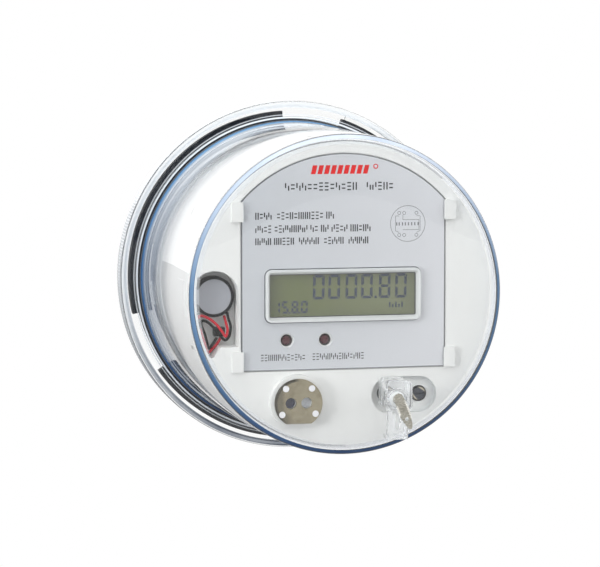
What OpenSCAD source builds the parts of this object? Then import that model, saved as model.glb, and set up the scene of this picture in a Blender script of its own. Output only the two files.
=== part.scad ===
// Socket-base smart electric meter, three phase, thirteen terminals.
// Millimetres. +Z up, +X right, the front faces -Y.
// The origin is the centre of the base's rear seating plane (y = 0).

/* [Case] */
// Outer diameter of the cover's flange
flange_d = 176.5; // [176:0.5:178]
// Diameter of the cover's front rim
rim_d = 150; // [149:0.5:151]
// Depth from the seating plane to the cover's front face
depth = 128; // [126:1:136]
// Thickness of the clear cover
wall = 2.5; // [2.2:0.1:2.8]

/* [Terminals] */
// Length of the blades behind the seating plane
blade_len = 25.4; // [20:0.2:28]
// Width of a current blade
blade_w = 19; // [17:0.5:20]
// Thickness of every blade
blade_t = 2.4; // [2:0.1:2.6]

/* [Face] */
// Half width of the nameplate
plate_half_w = 49; // [47:0.5:49.5]
// Radius of the nameplate's arched top
plate_arch_r = 65.8; // [64:0.2:66.5]
// Width of the display window
window_w = 70; // [60:0.1:70]
// Height of the display window
window_h = 19.8; // [16:0.1:21]

/* [Controls] */
// Travel of the demand-reset plunger
reset_travel = 2.5; // [1:0.1:2.5]
// Angle of the reset paddle from straight down
paddle_angle = 22; // [0:1:60]
// Length of the reset paddle
paddle_len = 14.5; // [10:0.5:17]

/* [Hidden] */
$fn = 96;
fn_small = 32;

// Stations along Y. The front is negative.
front_y = -depth;
inner_y = front_y + wall;
face_y = front_y + 8.5;
face_t = 2.5;
face_back = face_y + face_t;
base_y = -9;

// Radii of the case
flange_r = flange_d / 2;
rim_r = rim_d / 2;
rim_round = 4;
wall_root_r = rim_r + 2.6;
flange_front = -13.8;
skirt_back = -1.8;
skirt_t = 2.4;
base_r = 79;
lug_ring_r = 83.3;
lug_inner_r = 80.9;
lug_ring_front = -9;
lug_ring_back = -4.5;
body_gap = 0.4;
boss_limit = 66.4;
foot_x = 58;
foot_z = 34;
foot_w = 7;
foot_y = 23;
foot_seat = 0.6;

// Bayonet: three gaps in the base's ring, three lugs on the cover
gap_angles = [82, 203.8, 323.8];
gap_width = 22;
lug_width = 9;
lug_offset = -17.5;

// Blades
row_x = [-36.5, 0, 36.5];
row_z = 44.45;
pot_z = -12;
pot_pitch = 19.05;
pot_w = 9.5;
blade_in = -24;
slot_gap = 0.15;
pin_y = -11;
pin_r = 1.4;

// Current bars and transformers
bar_side = [1, 1, -1];
bar_x = 1.3;
bar_t = 2.4;
bar_y0 = -29;
bar_y1 = -19;
bar_half = 52;
ct_z = 15;
ct_h = 11;
ct_r = 13.2;
ct_bore = 7;
ct_y = -24;

// Boards
board_t = 1.6;
power_y = -46;
main_y = -72;
display_y = face_y + 12;
post_xy = [[-16, 52], [20, 52], [-16, -52], [20, -52]];
post_r = 4;

// Shroud
shroud_front_r = 71.2;
shroud_back_r = 67.8;
shroud_t = 0.9;
shroud_knee = -85;
face_r = 71.4;
well_x = -61.7;
well_z = 0.2;
well_r = 11.6;
well_wall = 1.4;
well_edge = 70;
pad_r = 71.8;
pad_y0 = -109;
pad_y1 = -93;
pad_a0 = 175;
pad_a1 = 188;

// Nameplate
plate_bottom = -35.3;
plate_t = 1.2;
plate_recess = 0.8;
plate_gap = 0.4;
clip_w = 4.6;
clip_h = 9.3;
clip_z = [39, -30.8];

// Display
bezel_w = 74.6;
bezel_h = 24.6;
bezel_t = 2.2;
window_t = 1;
display_x = -0.4;
display_z = -0.45;

// Pulse LEDs
led_x = [-27.35, -8.95];
led_z = -21.3;
led_r = 2.5;
led_hole = 2.8;
led_window = 3.4;

// Optical port
port_x = -22.9;
port_z = -50.2;
port_r = 11.35;
port_flat = -9.6;
port_t = 1.5;
port_y = inner_y + 0.6;
port_holes = [-3.7, 3.8];
port_hole_r = 2.6;
rivets = [[-6.1, 6.9], [6.3, 6.8], [-7.9, -5.2], [8.0, -5.1]];
rivet_r = 1.5;

// Reset recess and buttons
recess_x = 29.4;
recess_z = -48.4;
recess_w = 31.8;
recess_h = 17.4;
recess_d = 4;
recess_floor = face_y + recess_d;
recess_wall = 1.5;
reset_x = 21;
reset_z = -48;
test_x = 37.6;
test_z = -48.6;
button_hole = 3.9;
button_r = 3.6;
button_front = recess_floor - reset_travel;
tip_gap = 0.3;
stem_r = 1.5;
stem_gap = 0.3;
switch_h = 2.8;
flange_gap = 0.3;

// Reset guard and plunger
guard_y = front_y - 9;
hub_y = guard_y - 2;
guard_left = 16.6;
guard_right = 28.9;
guard_top = -39.6;
guard_bottom = -53.4;
guard_round = 2.4;
skirt_wall = 1.2;
skirt_depth = 5.1;
hub_r = 5;
hub_bore = 4;
shaft_r = 1.5;
shaft_hole = 1.8;
collar_r = 3.6;
collar_fit = 0.06;
collar_front = hub_y + 0.4;
collar_t = 3;
paddle_back = hub_y - 3.2;
paddle_top = 1.2;
paddle_t = 1.1;
paddle_w = 5.2;
seal_hole = 0.9;
tongue_left = 16.8;
tongue_right = 26.4;
tongue_bottom = -67.2;
tongue_t = 2.6;

// Battery
cell_x = -60.7;
cell_z = -0.75;
cell_r = 8.2;
cell_sleeve = 9.55;
cell_front = face_y + 7.5;
well_floor = -88;
cell_back = well_floor;
ledge_y = face_y + 12.5;
wire_r = 0.65;

// ---------- helpers ----------

// Extrude a drawing of (x, z) between two stations along Y.
module face(y0, y1) {
  translate([0, y1, 0])
    rotate([90, 0, 0])
      linear_extrude(y1 - y0)
        children();
}

// Extrude a drawing of (y, z) between two stations along X.
module side(x0, x1) {
  translate([x0, 0, 0])
    rotate([90, 0, 90])
      linear_extrude(x1 - x0)
        children();
}

// Turn a profile of (radius, y) about the Y axis, from angle a0 to a1.
module lathe(points, a0 = 0, a1 = 360) {
  rotate([90, 0, 0])
    rotate_extrude(angle = a1 - a0, start = a0)
      polygon([for (p = points) [p[0], -p[1]]]);
}

module disc(r, y0, y1, x = 0, z = 0) {
  face(y0, y1)
    translate([x, z])
      circle(r);
}

module tube_y(ro, ri, y0, y1, x = 0, z = 0) {
  face(y0, y1)
    translate([x, z])
      difference() {
        circle(ro);
        circle(ri);
      }
}

module box(x0, x1, y0, y1, z0, z1) {
  translate([x0, y0, z0])
    cube([x1 - x0, y1 - y0, z1 - z0]);
}

module rounded(w, h, r) {
  square([w - 2 * r, h], center = true);
  square([w, h - 2 * r], center = true);
  for (sx = [-1, 1], sz = [-1, 1])
    translate([sx * (w / 2 - r), sz * (h / 2 - r)])
      circle(r, $fn = fn_small);
}

module stadium(w, h) {
  square([w - h, h], center = true);
  for (s = [-1, 1])
    translate([s * (w - h) / 2, 0])
      circle(h / 2);
}

// Arc of profile points from angle a0 to a1 about (cx, cy).
function arc(cx, cy, r, a0, a1, n) =
  [for (i = [0:n]) [cx + r * cos(a0 + (a1 - a0) * i / n), cy + r * sin(a0 + (a1 - a0) * i / n)]];

function unit(v) = v / norm(v);

// One Catmull-Rom step between p1 and p2.
function spline(p0, p1, p2, p3, t) =
  0.5 * (2 * p1 + (p2 - p0) * t + (2 * p0 - 5 * p1 + 4 * p2 - p3) * t * t
  + (3 * p1 - p0 - 3 * p2 + p3) * t * t * t);

function route(c, n) = concat(
  [for (i = [0:len(c) - 2], k = [0:n - 1])
    spline(c[max(i - 1, 0)], c[i], c[i + 1], c[min(i + 2, len(c) - 1)], k / n)],
  [c[len(c) - 1]]);

function tangents(p) = let (m = len(p) - 1)
  [for (i = [0:m]) unit(p[min(i + 1, m)] - p[max(i - 1, 0)])];

function normals(t) = [
  for (i = 0, n = unit(cross(t[0], [0.31, 0.2, 0.93])); i < len(t);
    i = i + 1, n = i < len(t) ? unit(n - (n * t[i]) * t[i]) : n) n];

// A round tube along a list of points, as one closed surface.
module sweep(p, r, sides = 8) {
  t = tangents(p);
  n = normals(t);
  m = len(p);
  pts = [for (i = [0:m - 1], j = [0:sides - 1])
    let (a = 360 * j / sides) p[i] + r * (cos(a) * n[i] + sin(a) * cross(t[i], n[i]))];
  lower = [for (i = [0:m - 2], j = [0:sides - 1])
    [i * sides + j, (i + 1) * sides + j, (i + 1) * sides + (j + 1) % sides]];
  upper = [for (i = [0:m - 2], j = [0:sides - 1])
    [i * sides + j, (i + 1) * sides + (j + 1) % sides, i * sides + (j + 1) % sides]];
  start = [[for (j = [0:sides - 1]) j]];
  end = [[for (j = [0:sides - 1]) (m - 1) * sides + sides - 1 - j]];
  polyhedron(points = pts, faces = concat(start, lower, upper, end));
}

// ---------- base and terminals ----------

module base_housing() {
  color([0.05, 0.07, 0.09])
    difference() {
      union() {
        disc(base_r, base_y, 0);
        for (i = [0:2]) {
          a = gap_angles[i] + gap_width / 2;
          b = gap_angles[(i + 1) % 3] + (i == 2 ? 360 : 0) - gap_width / 2;
          lathe([[base_r - 1, lug_ring_front], [lug_ring_r, lug_ring_front],
            [lug_ring_r, lug_ring_back], [base_r - 1, lug_ring_back]], a, b);
          // stop behind each segment that the cover's lug turns against
          s = gap_angles[i] + lug_offset - lug_width / 2;
          lathe([[base_r - 1, lug_ring_back - 1], [lug_ring_r - 0.5, lug_ring_back - 1],
            [lug_ring_r - 0.5, skirt_back], [base_r - 1, skirt_back]], s - 3, s - 0.6);
        }
        tube_y(74.2, 72, -15, base_y);
        for (p = post_xy)
          disc(post_r, power_y + board_t, base_y, p[0], p[1]);
        // bosses round the blade slots, kept inside the shroud
        intersection() {
          for (x = row_x, s = [-1, 1])
            box(x - 4.5, x + 4.5, base_y - 4, base_y, s * row_z - 12.5, s * row_z + 12.5);
          disc(boss_limit, base_y - 5, base_y + 1);
        }
      }
      for (x = row_x, s = [-1, 1])
        box(x - blade_t / 2 - slot_gap, x + blade_t / 2 + slot_gap, -20, 5,
          s * row_z - blade_w / 2 - slot_gap, s * row_z + blade_w / 2 + slot_gap);
      for (i = [-3:3])
        box(i * pot_pitch - blade_t / 2 - slot_gap, i * pot_pitch + blade_t / 2 + slot_gap,
          -20, 5, pot_z - pot_w / 2 - slot_gap, pot_z + pot_w / 2 + slot_gap);
      for (x = row_x, s = [-1, 1])
        box(x - 6, x + 6, pin_y - pin_r - 0.2, pin_y + pin_r + 0.2,
          s * row_z - pin_r - 0.2, s * row_z + pin_r + 0.2);
      box(-24, 24, -0.6, 1, 10, 26);
      // seats of the four feet
      for (sx = [-1, 1], sz = [-1, 1])
        box(foot_x * sx - foot_w / 2 - 0.05, foot_x * sx + foot_w / 2 + 0.05, -foot_seat, 1,
          foot_z * sz - foot_w / 2 - 0.05, foot_z * sz + foot_w / 2 + 0.05);
      for (p = post_xy)
        disc(1.6, power_y, base_y - 8, p[0], p[1]);
    }
}

// Four feet that stand the meter on its back without loading the blades.
module base_feet() {
  color([0.05, 0.07, 0.09])
    for (sx = [-1, 1], sz = [-1, 1])
      box(foot_x * sx - foot_w / 2, foot_x * sx + foot_w / 2, -foot_seat, foot_y,
        foot_z * sz - foot_w / 2, foot_z * sz + foot_w / 2);
}

module cover_gasket() {
  color([0.03, 0.03, 0.035])
    tube_y(78.9, 75.6, base_y - 1.6, base_y);
}

module current_blade(i) {
  x = row_x[i % 3];
  z = i < 3 ? row_z : -row_z;
  tip = blade_len;
  h = blade_w / 2;
  color([0.72, 0.72, 0.7])
    difference() {
      side(x - blade_t / 2, x + blade_t / 2)
        translate([0, z])
          polygon([[blade_in, -h], [tip - 3, -h], [tip, -h + 3], [tip, h - 3],
            [tip - 3, h], [blade_in, h]]);
      side(x - blade_t, x + blade_t)
        translate([pin_y, z])
          circle(pin_r + 0.1, $fn = fn_small);
      side(x - blade_t, x + blade_t)
        translate([ct_y, z])
          circle(2.1, $fn = fn_small);
    }
}

module current_blade_1() { current_blade(0); }
module current_blade_2() { current_blade(1); }
module current_blade_3() { current_blade(2); }
module current_blade_4() { current_blade(3); }
module current_blade_5() { current_blade(4); }
module current_blade_6() { current_blade(5); }

module potential_blades() {
  tip = blade_len - 2;
  h = pot_w / 2;
  color([0.72, 0.72, 0.7])
    for (i = [-3:3])
      side(i * pot_pitch - blade_t / 2, i * pot_pitch + blade_t / 2)
        translate([0, pot_z])
          polygon([[-14, -h], [tip - 2, -h], [tip, -h + 2], [tip, h - 2],
            [tip - 2, h], [-14, h]]);
}

module blade_pins() {
  color([0.75, 0.74, 0.7])
    for (x = row_x, s = [-1, 1])
      side(x - 5.5, x + 5.5)
        translate([pin_y, s * row_z])
          circle(pin_r, $fn = fn_small);
}

// Middle of a phase's bar along X.
function bar_mid(i) = row_x[i] + bar_side[i] * (bar_x + bar_t / 2);

module current_bar(i) {
  x = bar_mid(i) - bar_t / 2;
  color([0.72, 0.45, 0.3])
    difference() {
      side(x, x + bar_t)
        polygon([[bar_y0, -bar_half], [bar_y1, -bar_half], [bar_y1, bar_half],
          [bar_y0, bar_half]]);
      for (s = [-1, 1])
        side(x - 1, x + bar_t + 1)
          translate([ct_y, s * row_z])
            circle(2.1, $fn = fn_small);
    }
}

module current_bar_a() { current_bar(0); }
module current_bar_b() { current_bar(1); }
module current_bar_c() { current_bar(2); }

module bar_screws() {
  head_x = bar_x + bar_t;
  color([0.7, 0.7, 0.72])
    for (i = [0:2], s = [-1, 1])
      translate([row_x[i], 0, 0])
        mirror([bar_side[i] < 0 ? 1 : 0, 0, 0])
          translate([0, ct_y, s * row_z])
            rotate([0, 90, 0]) {
              translate([0, 0, -4])
                cylinder(r = 2, h = head_x + 4.5, $fn = fn_small);
              translate([0, 0, head_x])
                cylinder(r = 3.6, h = 2.4, $fn = fn_small);
              translate([0, 0, -3.8])
                cylinder(r = 3.8, h = 3.8 - blade_t / 2, $fn = 6);
            }
}

module current_transformer(i) {
  color([0.16, 0.2, 0.42])
    translate([bar_mid(i), ct_y, ct_z])
      difference() {
        union() {
          cylinder(r = ct_r, h = ct_h);
          translate([-5, -ct_r - 1, 2])
            cube([10, 5, ct_h - 4]);
        }
        translate([0, 0, -1])
          cylinder(r = ct_bore, h = ct_h + 2);
      }
}

module current_transformer_a() { current_transformer(0); }
module current_transformer_b() { current_transformer(1); }
module current_transformer_c() { current_transformer(2); }

module transformer_leads() {
  color([0.1, 0.35, 0.75])
    for (i = [0:2], s = [-1, 1])
      disc(0.7, power_y + board_t, ct_y - ct_r - 1, bar_mid(i) + 2 * s, ct_z + 5, $fn = 16);
}

module potential_leads() {
  color([0.85, 0.75, 0.1])
    for (i = [-3:3])
      disc(0.9, power_y + board_t, -14, i * pot_pitch, pot_z, $fn = 16);
}

// ---------- boards ----------

module power_board() {
  color([0.05, 0.3, 0.15])
    difference() {
      face(power_y, power_y + board_t)
        intersection() {
          circle(65);
          square([124, 122], center = true);
        }
      for (p = post_xy)
        disc(1.7, power_y - 1, power_y + board_t + 1, p[0], p[1]);
    }
}

module power_transformer() {
  color([0.85, 0.7, 0.2]) {
    box(-52, -28, power_y - 18, power_y - 2, -12, 16);
    box(-54, -26, power_y - 3, power_y, -14, 18);
    box(-54, -26, power_y - 20, power_y - 17, -14, 18);
  }
}

module power_capacitors() {
  color([0.12, 0.12, 0.3])
    for (p = [[-8, 14], [8, 14], [26, 22]])
      disc(6.2, power_y - 18, power_y, p[0], p[1]);
}

module surge_varistors() {
  color([0.1, 0.25, 0.65])
    for (x = [-26, -4, 18])
      box(x - 7, x + 7, power_y - 15, power_y, -34, -29.5);
}

module board_spacers() {
  color([0.8, 0.65, 0.3])
    for (p = post_xy)
      face(main_y + board_t, power_y)
        translate(p)
          circle(3.2, $fn = 6);
}

module main_board() {
  color([0.05, 0.32, 0.16])
    difference() {
      face(main_y, main_y + board_t)
        intersection() {
          circle(64);
          square([116, 120], center = true);
        }
      for (p = post_xy)
        disc(1.7, main_y - 1, main_y + board_t + 1, p[0], p[1]);
    }
}

module meter_chips() {
  color([0.06, 0.06, 0.07])
    for (c = [[-20, 10, 14, 14], [12, 14, 10, 10], [14, -16, 18, 8], [-22, -20, 8, 12]])
      box(c[0] - c[2] / 2, c[0] + c[2] / 2, main_y - 1.6, main_y, c[1] - c[3] / 2, c[1] + c[3] / 2);
}

module board_header() {
  color([0.08, 0.08, 0.09])
    box(-18, 18, main_y + board_t, power_y, 34, 41);
}

module board_screws() {
  color([0.7, 0.7, 0.72])
    for (p = post_xy)
      disc(3, main_y - 2.2, main_y, p[0], p[1], $fn = fn_small);
}

module display_outline() {
  intersection() {
    circle(65);
    translate([0, -19.5])
      square([92, 91], center = true);
  }
}

module display_board() {
  color([0.05, 0.32, 0.16])
    difference() {
      face(display_y, display_y + board_t)
        display_outline();
      for (p = face_posts)
        disc(1.5, display_y - 1, display_y + board_t + 1, p[0], p[1], $fn = fn_small);
    }
}

face_posts = [[-40, 20], [40, 20], [-42, -38], [4, -58]];

module display_screws() {
  color([0.7, 0.7, 0.72])
    for (p = face_posts)
      disc(2.6, display_y + board_t, display_y + board_t + 1.8, p[0], p[1], $fn = fn_small);
}

// ---------- shroud and face ----------

// Outline of the battery well, grown by g and kept inside a circle.
module well_outline(g, limit) {
  right = well_x + well_r + g;
  intersection() {
    union() {
      translate([well_x, well_z])
        circle(well_r + g);
      polygon([[-80, well_z], [right, well_z], [right, -23.8 - g], [-58.8 + g, -23.8 - g],
        [-62.2 + g, -28.6 - g], [-80, -28.6 - g]]);
    }
    circle(limit);
  }
}

module inner_shroud() {
  f = face_back;
  color([0.92, 0.93, 0.93])
    difference() {
      union() {
        lathe([[shroud_back_r, base_y], [shroud_front_r, shroud_knee], [shroud_front_r, f],
          [shroud_front_r - shroud_t, f], [shroud_front_r - shroud_t, shroud_knee],
          [shroud_back_r - shroud_t, base_y]]);
        // raised pad outside the battery
        lathe([[pad_r - 1.4, pad_y0], [pad_r, pad_y0], [pad_r, pad_y1 - 0.8],
          [pad_r - 0.8, pad_y1], [pad_r - 1.4, pad_y1]], pad_a0, pad_a1);
      }
      // slanted locking slots and vents in the wall
      for (a = [29.5, 149.5, 269.5])
        rotate([0, -a, 0])
          translate([70, -75, 0])
            rotate([36, 0, 0])
              cube([20, 1.4, 6.6], center = true);
      for (a = [100, 200, 340])
        rotate([0, -a, 0])
          box(60, 80, f + 8, f + 14, -1.2, 1.2);
    }
}

module nameplate_outline(g = 0) {
  intersection() {
    circle(plate_arch_r + g);
    translate([-plate_half_w - g, plate_bottom - g])
      square([2 * (plate_half_w + g), 130]);
  }
}

module port_outline(r, flat) {
  intersection() {
    circle(r);
    polygon([[-r, r], [r, r], [r, flat + 3], [r - 3.2, flat], [-r + 3.2, flat], [-r, flat + 3]]);
  }
}

module clips() {
  for (sx = [-1, 1], z = clip_z) {
    x0 = sx > 0 ? plate_half_w + 0.2 : -plate_half_w - 0.2 - clip_w;
    box(x0, x0 + clip_w, face_y - 2.2, face_y, z - clip_h / 2, z + clip_h / 2);
    lip = sx > 0 ? plate_half_w - 0.6 : -plate_half_w - 0.2;
    box(lip, lip + 0.8, face_y - 2.2, face_y - 1.2, z - clip_h / 2, z + clip_h / 2);
  }
}

module front_plate() {
  plate_back = face_y + plate_recess;
  color([0.91, 0.915, 0.92])
    difference() {
      union() {
        disc(face_r, face_y, face_back);
        tube_y(69.7, 67.6, face_back, face_back + 4);
        face(port_y + port_t, face_y)
          translate([port_x, port_z])
            port_outline(port_r + 1.7, port_flat - 1.2);
        face(face_back, recess_floor + recess_wall)
          intersection() {
            translate([recess_x, recess_z])
              stadium(recess_w + 2 * recess_wall, recess_h + 2 * recess_wall);
            circle(well_edge);
          }
        face(face_back, ledge_y + well_wall)
          well_outline(well_wall, well_edge);
        // sleeve of the cell's bore
        face(ledge_y, well_floor + well_wall)
          intersection() {
            translate([cell_x, cell_z])
              circle(cell_sleeve + well_wall);
            circle(well_edge);
          }
        for (p = face_posts)
          disc(3, face_back, display_y, p[0], p[1], $fn = fn_small);
        clips();
      }
      // nameplate seat, with a fine gap all round
      face(face_y - 0.01, plate_back)
        nameplate_outline(plate_gap);
      face(face_y - 1, face_back + 1)
        translate([display_x, display_z])
          square([window_w + 3.5, window_h + 3.5], center = true);
      for (x = led_x)
        disc(led_hole, face_y - 1, face_back + 1, x, led_z, $fn = fn_small);
      // optical port bores
      for (dx = port_holes)
        disc(port_hole_r, port_y, face_back + 1, port_x + dx, port_z, $fn = fn_small);
      for (p = rivets)
        disc(rivet_r + 0.05, port_y, face_y, port_x + p[0], port_z + p[1], $fn = fn_small);
      // stadium recess with two button bores
      face(face_y - 1, recess_floor)
        translate([recess_x, recess_z])
          stadium(recess_w, recess_h);
      for (p = [[reset_x, reset_z], [test_x, test_z]])
        disc(button_hole, recess_floor - 1, recess_floor + 3, p[0], p[1], $fn = fn_small);
      // battery well, and the bore that holds the cell
      face(face_y - 1, face_back + 0.01)
        well_outline(0, well_edge);
      face(face_back, ledge_y)
        well_outline(0, well_edge + 5);
      disc(cell_sleeve + 0.1, ledge_y - 1, well_floor, cell_x, cell_z);
    }
}

module nameplate() {
  back = face_y + plate_recess;
  color([0.8, 0.81, 0.83])
    difference() {
      face(back - plate_t, back)
        nameplate_outline();
      face(back - plate_t - 1, back + 1)
        translate([display_x, display_z])
          square([window_w + 3, window_h + 3], center = true);
      for (x = led_x)
        disc(led_window, back - plate_t - 1, back + 1, x, led_z, $fn = fn_small);
      // corners relieved under the clip lips
      for (sx = [-1, 1], z = clip_z)
        translate([sx * plate_half_w, back - plate_t, z])
          cube([1.8, 0.4, clip_h + 0.6], center = true);
    }
}

bezel_back = face_y + plate_recess - plate_t;
bezel_front = bezel_back - bezel_t;

module lcd_bezel() {
  color([0.88, 0.89, 0.9])
    difference() {
      face(bezel_front, bezel_back)
        translate([display_x, display_z])
          rounded(bezel_w, bezel_h, 3);
      face(bezel_front - 1, bezel_back + 1)
        translate([display_x, display_z])
          square([window_w, window_h], center = true);
    }
}

module lcd_window() {
  color([0.8, 0.85, 0.85, 0.4])
    face(bezel_back, bezel_back + window_t)
      translate([display_x, display_z])
        square([window_w + 2.6, window_h + 2.6], center = true);
}

module lcd_panel() {
  y0 = bezel_back + window_t;
  color([0.45, 0.46, 0.33])
    face(y0, y0 + 2.6)
      translate([display_x, display_z])
        square([window_w + 2.6, window_h + 2.6], center = true);
  // frame and pin rows down to the display board
  color([0.85, 0.85, 0.85])
    difference() {
      face(y0 + 2.6, display_y)
        translate([display_x, display_z])
          square([window_w + 2.6, window_h + 2.6], center = true);
      face(y0 + 4, display_y + 1)
        translate([display_x, display_z])
          square([window_w - 2, window_h - 4], center = true);
    }
}

module pulse_led(x) {
  tip = face_y + 2.2;
  color([0.35, 0.1, 0.12]) {
    disc(led_r, tip, display_y, x, led_z, $fn = fn_small);
    translate([x, tip, led_z])
      intersection() {
        sphere(led_r, $fn = fn_small);
        translate([-5, -10, -5])
          cube([10, 10, 10]);
      }
  }
}

module pulse_led_1() { pulse_led(led_x[0]); }
module pulse_led_2() { pulse_led(led_x[1]); }

module optical_port_plate() {
  color([0.62, 0.58, 0.5])
    difference() {
      face(port_y, port_y + port_t)
        translate([port_x, port_z])
          port_outline(port_r, port_flat);
      for (dx = port_holes)
        disc(port_hole_r, port_y - 1, port_y + port_t + 1, port_x + dx, port_z, $fn = fn_small);
      for (p = rivets)
        disc(rivet_r + 0.05, port_y - 1, port_y + port_t + 1, port_x + p[0], port_z + p[1],
          $fn = fn_small);
    }
}

module optical_rivets() {
  color([0.93, 0.93, 0.94])
    for (p = rivets)
      disc(rivet_r, port_y - 0.15, port_y + port_t + 3, port_x + p[0], port_z + p[1],
        $fn = fn_small);
}

module optical_lens(dx) {
  r = port_hole_r - 0.25;
  y0 = port_y + port_t + 1.2;
  disc(r, y0, display_y, port_x + dx, port_z, $fn = fn_small);
}

module optical_emitter() {
  color([0.12, 0.12, 0.16])
    optical_lens(port_holes[0]);
}

module optical_detector() {
  color([0.75, 0.8, 0.85, 0.6])
    optical_lens(port_holes[1]);
}

// ---------- buttons ----------

module switch_body(x, z) {
  color([0.15, 0.15, 0.16])
    difference() {
      box(x - 3.5, x + 3.5, display_y - switch_h, display_y, z - 3.5, z + 3.5);
      disc(stem_r + stem_gap, display_y - 5, display_y - 0.2, x, z, $fn = fn_small);
    }
}

module reset_switch() { switch_body(reset_x, reset_z); }
module test_switch() { switch_body(test_x, test_z); }

// A cap in the recess bore with a stem that runs into the switch.
module button(x, z, front, slot) {
  flange = recess_floor + recess_wall + flange_gap;
  cap_back = flange + 0.6;
  difference() {
    union() {
      disc(button_r, front, cap_back, x, z, $fn = fn_small);
      disc(button_r + 1, flange, cap_back, x, z, $fn = fn_small);
      disc(stem_r, cap_back - 0.2, display_y - switch_h - 0.2, x, z, $fn = fn_small);
    }
    if (slot)
      box(x - 2.6, x + 2.6, front - 1, front + 0.8, z - 0.5, z + 0.5);
  }
}

module reset_button() {
  color([0.1, 0.1, 0.12])
    button(reset_x, reset_z, button_front, false);
}

module test_button() {
  color([0.2, 0.2, 0.22])
    button(test_x, test_z, recess_floor - 0.8, true);
}

// ---------- battery ----------

module battery() {
  color([0.62, 0.63, 0.66])
    disc(cell_r, cell_front, cell_back, cell_x, cell_z);
}

module battery_sleeve() {
  color([0.04, 0.06, 0.09])
    tube_y(cell_sleeve, cell_r + 0.05, cell_front - 0.4, cell_back, cell_x, cell_z);
}

// Each lead leaves the cell, loops over the connector, turns against the shroud and comes back.
red_route = [
  [-55.3, -109, -10.2], [-54.9, -111.6, -13.3], [-54.4, -113, -16.5], [-55.3, -113.3, -19.4],
  [-57, -113.6, -17.3], [-59.9, -113.8, -13.6], [-63.8, -113.9, -10.6], [-67.6, -113.7, -9.4],
  [-68.4, -113, -11.8], [-67.2, -112.2, -16.5], [-65.2, -111.2, -22.5], [-64.3, -110.6, -25.6],
  [-63.6, -110.3, -27.2], [-62.6, -110.1, -26.9], [-60.7, -110, -24.9], [-58.7, -110, -22.6],
  [-57.3, -110, -20.3]];
black_route = [
  [-53.9, -109, -8.6], [-53.6, -111, -11.4], [-52.8, -112.2, -14.9], [-53.5, -112.5, -19.3],
  [-55.7, -112.4, -21.2], [-58.3, -112.3, -18.6], [-61, -112.3, -15.3], [-63.8, -112.3, -12.7],
  [-66.2, -112.2, -11.9], [-66.9, -111.8, -13.6], [-65.2, -111.1, -18], [-63.8, -110.3, -22.6],
  [-63.2, -109.4, -25], [-62.3, -109, -25.1], [-61.4, -109, -23.9], [-60.2, -109.3, -22.1],
  [-59.1, -109.6, -20.3]];

module battery_lead_red() {
  color([0.8, 0.1, 0.15])
    sweep(route(red_route, 4), wire_r);
}

module battery_lead_black() {
  color([0.04, 0.04, 0.05])
    sweep(route(black_route, 4), wire_r);
}

module battery_connector() {
  color([0.08, 0.09, 0.1])
    box(-60.6, -55.4, ledge_y - 4.4, ledge_y, -19.5, -15.4);
}

// ---------- cover ----------

module cover() {
  lathe_in = flange_front + wall;
  outer = concat(
    [[0, front_y]],
    arc(rim_r - rim_round, front_y + rim_round, rim_round, -90, 0, 8),
    arc(wall_root_r + 1.8, flange_front - 1.8, 1.8, 180, 90, 5),
    [[flange_r - 1.2, flange_front], [flange_r, flange_front + 1.2], [flange_r, skirt_back]]);
  inner = concat(
    [[flange_r - skirt_t, skirt_back], [flange_r - skirt_t, lathe_in], [wall_root_r - wall, lathe_in]],
    arc(rim_r - rim_round, front_y + rim_round, rim_round - wall, 0, -90, 5),
    [[0, inner_y]]);
  rib_r = 79.8;
  color([0.75, 0.85, 0.95, 0.35])
    difference() {
      union() {
        lathe(concat(outer, inner));
        // locating rib over the groove in the base
        tube_y(rib_r + 0.4, rib_r - 0.4, lathe_in - 0.1, base_y - body_gap);
        // bayonet lugs behind the base's ring
        for (i = [0:2]) {
          a = gap_angles[i] + lug_offset;
          lathe([[lug_inner_r, lug_ring_back + body_gap], [flange_r - skirt_t + 0.2,
            lug_ring_back + body_gap], [flange_r - skirt_t + 0.2, skirt_back],
            [lug_inner_r, skirt_back]], a - lug_width / 2, a + lug_width / 2);
        }
      }
      disc(shaft_hole, front_y - 1, inner_y + 1, reset_x, reset_z, $fn = fn_small);
    }
}

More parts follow.
